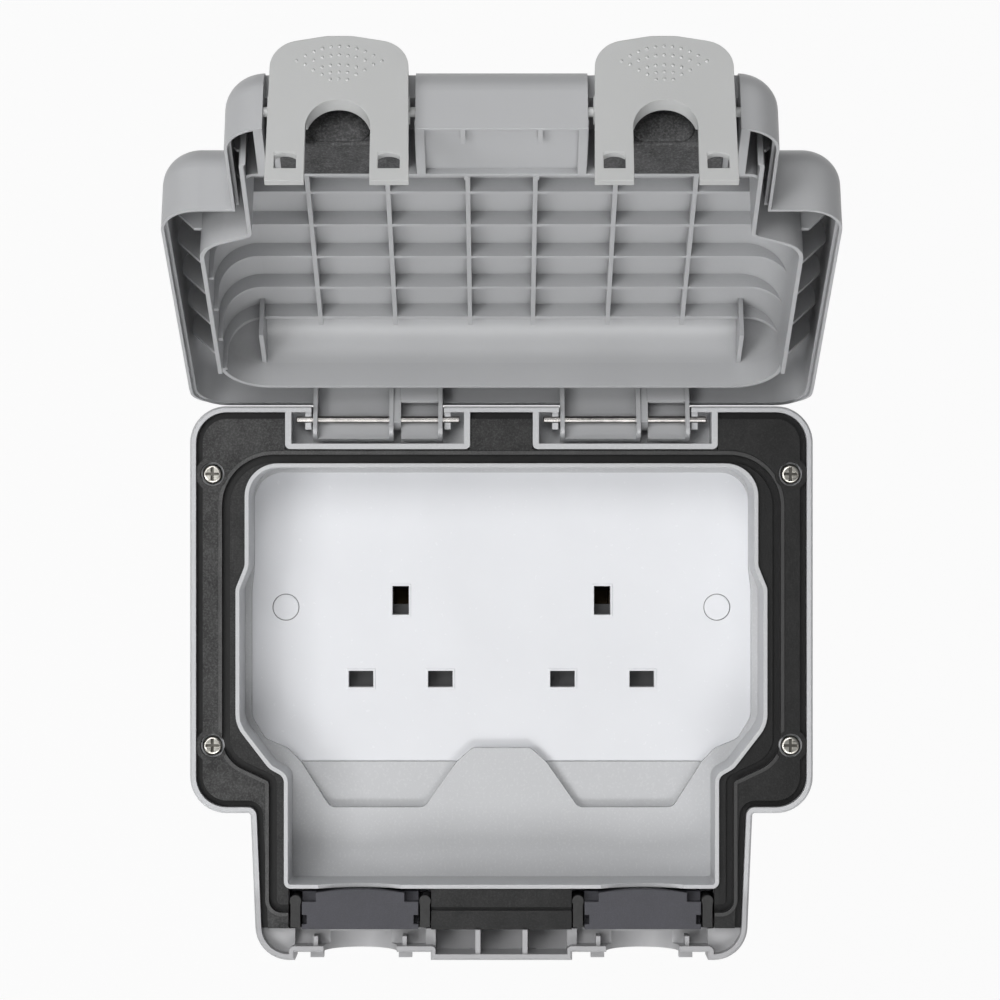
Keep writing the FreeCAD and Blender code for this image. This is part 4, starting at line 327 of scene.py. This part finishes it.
def rubber(name, tone, dust, pores, rough, cool=0.0, edge=0.2 * MM, gloss=0.35, painted_left_light=0.0, groove=None):
    """Rubber or foam: a dark tone with pale patches and a fine open grain. The patches can be made
    stronger on the left, by the share `painted_left_light`, as painted light, and can keep off the
    grooves. `groove` is the place of the groove's ground and of the face: below the face the
    colour is painted darker by depth, as painted shade, and the crests get a painted highlight."""
    material, shader, place = new_material(name, specular=gloss)
    patches = place.node("ShaderNodeTexNoise", Vector=place, Scale=PATCH_SCALE, Detail=8.0, Roughness=0.72)
    grain = place.node("ShaderNodeTexNoise", Vector=place, Scale=pores, Detail=3.0, Roughness=0.7)
    pale = grey(tone + dust, blue=1 + cool)
    mask = patches.clamped(0.35, 0.85) * 0.55 + grain.clamped(0.45, 0.75) * 0.6
    # painted light: the pale patches are made stronger on the left
    if painted_left_light:
        mask = mask * (place.along("X").clamped(PALE_NONE, PALE_MOST) * painted_left_light + (1 - painted_left_light))
    colour = mask.mix(grey(tone, blue=1 + cool), pale)
    # painted shade in the grooves by depth, and a painted highlight on the crests
    if groove:
        raised = place.along("Y").clamped(*groove)
        colour = raised.mix(grey(tone * GROOVE_SHADE_TONE, blue=1.04), colour)
        colour = (raised.clamped(CREST_HIGHLIGHT_STARTS, CREST_HIGHLIGHT_FULL) * CREST_HIGHLIGHT_SHARE).mix(colour, pale)
    return finish_material(material, shader, colour, rough + mask * 0.18, grain + patches * 0.6,
                           RUBBER_RELIEF, edge)


GASKET_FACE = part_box("frame_gasket")[0].y
GASKET = rubber("gasket_rubber", tone=0.085, dust=0.3, pores=1900.0, rough=0.42, gloss=0.3, painted_left_light=0.85,
                groove=(GASKET_FACE + GROOVE_DEPTH, GASKET_FACE))
HOLDER = rubber("holder_rubber", tone=0.15, dust=0.07, pores=1200.0, rough=0.48)
FOAM = rubber("seal_foam", tone=0.27, dust=0.06, pores=2600.0, rough=0.7, cool=0.07, edge=0.5 * MM)
LID_RUBBER = rubber("lid_rubber", tone=0.13, dust=0.3, pores=1700.0, rough=0.55, cool=0.01)
print("rubbers made, gasket face at", round(GASKET_FACE / MM, 1), "mm")

# %% [markdown]
# ## Metal
# The screws and pins are plated or drawn steel, and the contacts are brass. Polished metal
# would be a mirror of the studio. Real fasteners have fine streaks and small stains, which
# spread the glints, so noise is stretched sideways for the streaks. The cross recess of a
# frame screw lies in shade, so the finish paints shade into it from a set depth on.

# %% metals
ACROSS_STREAKS = 1800.0
STAIN_SCALE = 350.0
STAIN_TONE = 0.72
RECESS_FADE = 0.5 * MM
RECESS_SHADE_TONE = screen(0.46, 0.45, 0.43)
METAL_RELIEF = 0.01 * MM
METAL_EDGE = 0.15 * MM


def metal(name, colour, rough, streak, shade_from=None):
    """Plated or drawn metal: fine sideways streaks, small stains, and shade in a recess."""
    material, shader, place = new_material(name, metallic=1.0)
    stretched = place.node("ShaderNodeMapping", Vector=place, Scale=(streak, ACROSS_STREAKS, ACROSS_STREAKS))
    lines = place.node("ShaderNodeTexNoise", Vector=stretched, Scale=1.0, Detail=2.0)
    stains = place.node("ShaderNodeTexNoise", Vector=place, Scale=STAIN_SCALE, Detail=4.0)
    dull = tuple(channel * STAIN_TONE for channel in colour[:3]) + (1.0,)
    shade = stains.clamped(0.35, 0.7).mix(dull, colour)
    # painted shade in a recess, darker from a set depth on
    if shade_from is not None:
        deep = place.along("Y").clamped(shade_from, shade_from + RECESS_FADE)
        shade = deep.mix(shade, RECESS_SHADE_TONE)
    roughness = rough + (lines - 0.5) * 0.2
    return finish_material(material, shader, shade, roughness, lines, METAL_RELIEF, METAL_EDGE)


SCREW_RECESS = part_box("frame_screws")[0].y + 0.35 * MM
STEEL = metal("plated_steel", screen(0.86, 0.85, 0.82), rough=0.28, streak=300.0)
SCREW_STEEL = metal("screw_steel", screen(0.80, 0.79, 0.76), rough=0.3, streak=300.0, shade_from=SCREW_RECESS)
PIN_STEEL = metal("drawn_pin", screen(0.66, 0.65, 0.64), rough=0.26, streak=60.0)
BRASS = metal("brass_strip", screen(0.85, 0.70, 0.42), rough=0.3, streak=300.0)
# painted shade: the contacts' brass is darkened for the shade behind the slots
SHADED_CONTACT_BRASS = metal("contact_brass_painted_shade", screen(0.30, 0.26, 0.20), rough=0.45, streak=300.0)
print("metals made, screw recess shaded from", round(SCREW_RECESS / MM, 1), "mm")

# %% [markdown]
# ## Dressing the solids
# Each solid of the frame gets one finish. The contacts get a darker brass, which is painted
# shade for the dark behind the slots, and the inserts a brighter one. The list could go piece
# by piece. It goes by finish, so that pieces of one material stay together.

# %% dress the frame's pieces
FINISHES = {
    FRAME_GREY: ["front_frame"],
    LID_GREY: ["lid_shell"],
    LATCH_GREY: ["latch_left", "latch_right"],
    BOX_GREY: ["back_box", "entry_plugs"],
    WHITE: ["screw_cap_left", "screw_cap_right"],
    PLATE_WHITE: ["socket_plate"],
    DARK: ["socket_housing", "housing_cover", "shutter_left", "shutter_right"],
    GASKET: ["box_seal", "frame_gasket", "foot_gasket"],
    HOLDER: ["seal_holder_left", "seal_holder_right"],
    FOAM: ["base_cable_seal_left", "base_cable_seal_right"],
    LID_RUBBER: ["lid_cable_seal_left", "lid_cable_seal_right"],
    SCREW_STEEL: ["frame_screws"],
    STEEL: ["plate_screws", "housing_screws", "terminal_screws", "earth_screw",
            "shutter_spring_left", "shutter_spring_right"],
    PIN_STEEL: ["hinge_pin_left", "hinge_pin_right"],
    BRASS: ["plate_inserts", "earth_terminal"],
    SHADED_CONTACT_BRASS: ["line_contacts", "neutral_contacts", "earth_contacts"],
}


def dress(piece, material):
    piece.data.materials.clear()
    piece.data.materials.append(material)


for material, names in FINISHES.items():
    for name in names:
        dress(frame["nodes"][name], material)
undressed = set(frame["nodes"]) - {name for names in FINISHES.values() for name in names}
print("without a finish:", sorted(undressed))

# %% [markdown]
# ## Tools for the small details
# Some moulded details are too small to matter for size or contact, but the eye looks for
# them. They could be modelled where they are, on a tilted lid. It is easier to build each one
# flat at the origin, turn it on to its face, and let it ride on its body. What repeats is
# modelled once and copied.

# %% tools for the details
ON_LID_END = Matrix((Vector((1, 0, 0)), RISING, OUTWARD)).transposed().to_4x4()
SMOOTH_UNDER = math.radians(40)
EDGE_OVER = math.radians(50)
LATCHES = ("latch_left", "latch_right")


def added(primitive, **settings):
    """Adds a primitive with nothing else selected."""
    bpy.ops.object.select_all(action="DESELECT")
    primitive(**settings)
    return bpy.context.object


def chosen(*things):
    """Selects these objects alone. The last one is the active one."""
    bpy.ops.object.select_all(action="DESELECT")
    for thing in things:
        thing.select_set(True)
    bpy.context.view_layer.objects.active = things[-1]


def worked(thing, kind, **settings):
    """Adds a modifier and applies it at once."""
    chosen(thing)
    bpy.ops.object.modifier_add(type=kind)
    modifier = thing.modifiers[-1]
    for name, value in settings.items():
        setattr(modifier, name, value)
    bpy.ops.object.modifier_apply(modifier=modifier.name)
    return thing


def copied(pattern, place=(0, 0, 0)):
    """A copy of a piece with a mesh of its own."""
    chosen(pattern)
    bpy.ops.object.duplicate()
    copy = bpy.context.object
    copy.location = place
    return copy


def joined(name, things):
    chosen(*things)
    if len(things) > 1:
        bpy.ops.object.join()
    whole = bpy.context.object
    whole.name = name
    bpy.ops.object.transform_apply(location=True, rotation=True, scale=True)
    return whole


def settled(piece, place, material, body):
    """Turns a flat piece on to the lid's end, keeps the place in its mesh, paints it and lets it ride."""
    piece.matrix_world = Matrix.Translation(place) @ ON_LID_END @ piece.matrix_world
    chosen(piece)
    bpy.ops.object.transform_apply(location=True, rotation=True, scale=True)
    bpy.ops.object.shade_smooth_by_angle(angle=SMOOTH_UNDER)
    dress(piece, material)
    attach(piece, body)
    return piece


def middle(node):
    """How far across the middle of a frame piece lies."""
    low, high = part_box(node)
    return (low.x + high.x) / 2


print("latches", [round(middle(latch) / MM, 1) for latch in LATCHES], "mm across")

# %% [markdown]
# ## Grip dots on the latches
# Each latch has a field of small domes for the thumb, wide at the thumb end and narrow
# towards the slot, in rows that droop a little at the sides. They could be a bump
# in the finish, but a bump has no outline and no shadow. So each is a small ball, sunk into
# the face until a low dome is left.

# %% grip dots
LATCH_FACE = 148.4 * MM
DOT_PITCH = 2.03 * MM
DOT_RADIUS = 0.52 * MM
DOT_SUNK = 0.2 * MM
ROW_DROOP = 0.04
DOTS_AT_RISE = ((11, 21.0), (9, 18.55), (7, 15.8), (5, 13.8), (3, 11.85))

dot = added(bpy.ops.mesh.primitive_uv_sphere_add, segments=10, ring_count=6, radius=DOT_RADIUS)
worked(dot, "SUBSURF", levels=1, render_levels=1)


def dot_places():
    """The middles of the dots, row by row. A row droops with the square of the distance across."""
    for count, rise in DOTS_AT_RISE:
        for step in range(count):
            across = (step - (count - 1) / 2) * DOT_PITCH
            droop = ROW_DROOP * (across / MM) ** 2
            yield across, (rise - droop) * MM, -DOT_SUNK


for latch in LATCHES:
    field = joined(f"grip_dots_{latch}", [copied(dot, place) for place in dot_places()])
    settled(field, on_lid(middle(latch), LATCH_FACE, 0.0), LATCH_GREY, latch)
    print(latch, "dots", len(field.data.polygons), "faces")
bpy.data.objects.remove(dot, do_unlink=True)

# %% [markdown]
# ## A pad with round corners
# The arches of the latches and the pads of the seals both start as a flat pad. A cube with
# bevelled edges would have the same roundness everywhere. Here a flat sheet first gets round
# corners, then its thickness, and then a fine softened edge, so each has its own size.

# %% rounded pad
CORNER_STEPS = 8
SOFT_STEPS = 3


def rounded_pad(wide, tall, thick, corner, soft):
    """A flat pad with round corners and a softened edge, its back on z = 0."""
    pad = added(bpy.ops.mesh.primitive_plane_add, size=1.0)
    pad.scale = (wide, tall, 1.0)
    bpy.ops.object.transform_apply(scale=True)
    worked(pad, "BEVEL", affect="VERTICES", width=corner, segments=CORNER_STEPS)
    worked(pad, "SOLIDIFY", thickness=thick, offset=1.0)
    bpy.ops.object.mode_set(mode="EDIT")
    bpy.ops.mesh.select_all(action="SELECT")
    bpy.ops.mesh.normals_make_consistent(inside=False)
    bpy.ops.object.mode_set(mode="OBJECT")
    return worked(pad, "BEVEL", width=soft, segments=SOFT_STEPS, limit_method="ANGLE", angle_limit=EDGE_OVER)


print("pads have", CORNER_STEPS, "steps to a corner")

# %% [markdown]
# ## Arches over the latch windows
# Each latch has two windows, and their tops are gently arched. The solids have straight tops
# there. The arch could be cut into the latch, but the frame's meshes are left as they are. So
# a small pad is hollowed from below by a cylinder and set under the straight top. Its corner
# and its softened edge differ in size: where both were the same, the cut left no faces.

# %% window arches
WINDOW_HALF = 2.6 * MM
WINDOW_OFFSET = 12.15 * MM
WINDOW_TOP = -8.3 * MM
ARCH_RISE = 0.85 * MM
ARCH_TALL = 1.2 * MM
ARCH_THICK = 1.9 * MM
ARCH_CORNER = 0.2 * MM
ARCH_SOFT = 0.02 * MM
SUNK = 0.1 * MM


def window_arch():
    """The round top of one window. The circle passes through the arch's two ends and its crown."""
    radius = (WINDOW_HALF ** 2 + ARCH_RISE ** 2) / (2 * ARCH_RISE)
    crown = ARCH_TALL / 2 - 2 * SUNK
    arch = rounded_pad(2 * (WINDOW_HALF + SUNK), ARCH_TALL, ARCH_THICK, ARCH_CORNER, ARCH_SOFT)
    cutter = added(bpy.ops.mesh.primitive_cylinder_add, vertices=96, radius=radius, depth=4 * ARCH_THICK,
                   location=(0, crown - radius, 0))
    worked(arch, "BOOLEAN", object=cutter, operation="DIFFERENCE")
    bpy.data.objects.remove(cutter, do_unlink=True)
    return arch


arch = window_arch()
for latch in LATCHES:
    pair = [copied(arch, (offset, 0, 0)) for offset in (-WINDOW_OFFSET, WINDOW_OFFSET)]
    arches = joined(f"window_arches_{latch}", pair)
    place = on_lid(middle(latch), LATCH_FACE - ARCH_THICK - SUNK, WINDOW_TOP + SUNK - ARCH_TALL / 2)
    settled(arches, place, LATCH_GREY, latch)
    print(latch, "arches", len(arches.data.polygons), "faces")
bpy.data.objects.remove(arch, do_unlink=True)

# %% [markdown]
# ## Pads on the lid's cable seals, and soft foam edges
# Each cable seal of the lid has a raised pad with round ends. The foam seals of the base
# have soft, round edges. On foam that roundness shows in the outline, so it is a real bevel
# here, and a modifier does it without a change to the frame's mesh.

# %% seal pads
SIDES = ("left", "right")
LID_SEAL_FACE = 138.2 * MM
PAD_WIDE = 14.6 * MM
PAD_TALL = 7.4 * MM
PAD_THICK = 1.1 * MM
PAD_CORNER = 3.4 * MM
PAD_SOFT = 0.35 * MM
PAD_SUNK = 0.3 * MM
PAD_RISE = 4.4 * MM
FOAM_EDGE = 0.45 * MM

seal_pad = rounded_pad(PAD_WIDE, PAD_TALL, PAD_THICK, PAD_CORNER, PAD_SOFT)
for side in SIDES:
    pad = joined(f"seal_pad_{side}", [copied(seal_pad)])
    place = on_lid(middle(f"lid_cable_seal_{side}"), LID_SEAL_FACE - PAD_SUNK, PAD_RISE)
    settled(pad, place, LID_RUBBER, "lid")
    print(pad.name, len(pad.data.polygons), "faces")
bpy.data.objects.remove(seal_pad, do_unlink=True)

for side in SIDES:
    soften = frame["nodes"][f"base_cable_seal_{side}"].modifiers.new("soft_edges", "BEVEL")
    soften.width = FOAM_EDGE
    soften.segments = SOFT_STEPS
    soften.limit_method = "ANGLE"
    soften.angle_limit = EDGE_OVER

# %% [markdown]
# ## Lamps and surroundings
# Three soft square lamps light the socket: one from the left, one from low in front and one
# from above. One strong lamp would be simpler and give hard shadows. The surroundings add a
# little light from everywhere. The camera sees them nearly white, which Light Path allows
# without more light on the socket.

# %% lamps and surroundings
AIM = Vector((0.0, -0.06, 0.02))
SURROUND_LIGHT = 0.15
SURROUND_SEEN = 0.95


def area_light(name, place, across, power):
    """A soft square lamp that points at the socket."""
    bpy.ops.object.light_add(type="AREA", location=place)
    lamp = bpy.context.object
    lamp.name = name
    lamp.data.shape = "SQUARE"
    lamp.data.size = across
    lamp.data.energy = power
    lamp.rotation_euler = (AIM - Vector(place)).to_track_quat("-Z", "Y").to_euler()


area_light("key_lamp", place=(-0.9, -1.45, -0.2), across=0.6, power=9.0)
area_light("fill_lamp", place=(0.0, -1.1, -1.1), across=1.0, power=18.0)
area_light("top_lamp", place=(-0.35, -1.8, 0.75), across=0.9, power=14.5)

world = bpy.data.worlds.new("studio")
bpy.context.scene.world = world
world.use_nodes = True
sky = world.node_tree.nodes["Background"]
sky.inputs["Color"].default_value = (1, 1, 1, 1)
seen_by_camera = Net(world.node_tree).node("ShaderNodeLightPath", output="Is Camera Ray")
strength = seen_by_camera * (SURROUND_SEEN - SURROUND_LIGHT) + SURROUND_LIGHT
world.node_tree.links.new(strength.socket, sky.inputs["Strength"])

# %% [markdown]
# ## Floor and backdrop
# The socket hangs free in front of a white backdrop. A lit white sheet turns grey in its
# corners, so what the camera and glossy pieces see of it is mostly a plain white glow. The
# rest is a pale matt sheet that still takes a trace of shadow.

# %% floor and backdrop
SHEET_SIZE = 6.0
SHEET_TONE = (0.8, 0.8, 0.8, 1.0)
SHEET_ROUGH = 0.9
WHITE_SHARE = 0.93
FLOOR_BELOW = 1.1
BACKDROP_BEHIND = 0.9
SEEING_RAYS = ("Is Camera Ray", "Is Glossy Ray", "Is Transmission Ray")


def backdrop_material():
    """White to the camera and in gloss, and a plain pale grey that takes shadow for the rest."""
    material = bpy.data.materials.new("backdrop_white")
    material.use_nodes = True
    tree = material.node_tree
    shader = tree.nodes["Principled BSDF"]
    shader.inputs["Base Color"].default_value = SHEET_TONE
    shader.inputs["Roughness"].default_value = SHEET_ROUGH
    net = Net(tree)
    camera_ray, glossy_ray, clear_ray = (net.node("ShaderNodeLightPath", output=ray) for ray in SEEING_RAYS)
    white = (camera_ray + glossy_ray + clear_ray).clamped(0.0, 1.0) * WHITE_SHARE
    glow = net.node("ShaderNodeEmission", Color=(1, 1, 1, 1), Strength=1.0)
    blend = net.node("ShaderNodeMixShader", i0=white, i1=Net(tree, shader.outputs[0]), i2=glow)
    tree.links.new(blend.socket, tree.nodes["Material Output"].inputs["Surface"])
    return material


plane = bpy.ops.mesh.primitive_plane_add
floor = added(plane, size=SHEET_SIZE, location=(0, 0, -FLOOR_BELOW))
floor.name = "floor"
backdrop = added(plane, size=SHEET_SIZE, location=(0, BACKDROP_BEHIND, 0), rotation=FACING_THE_WALL)
backdrop.name = "backdrop"
backdrop_white = backdrop_material()
for sheet in (floor, backdrop):
    sheet.data.materials.append(backdrop_white)

bpy.context.scene.view_settings.view_transform = "Standard"
print("sheets", floor.name, backdrop.name)
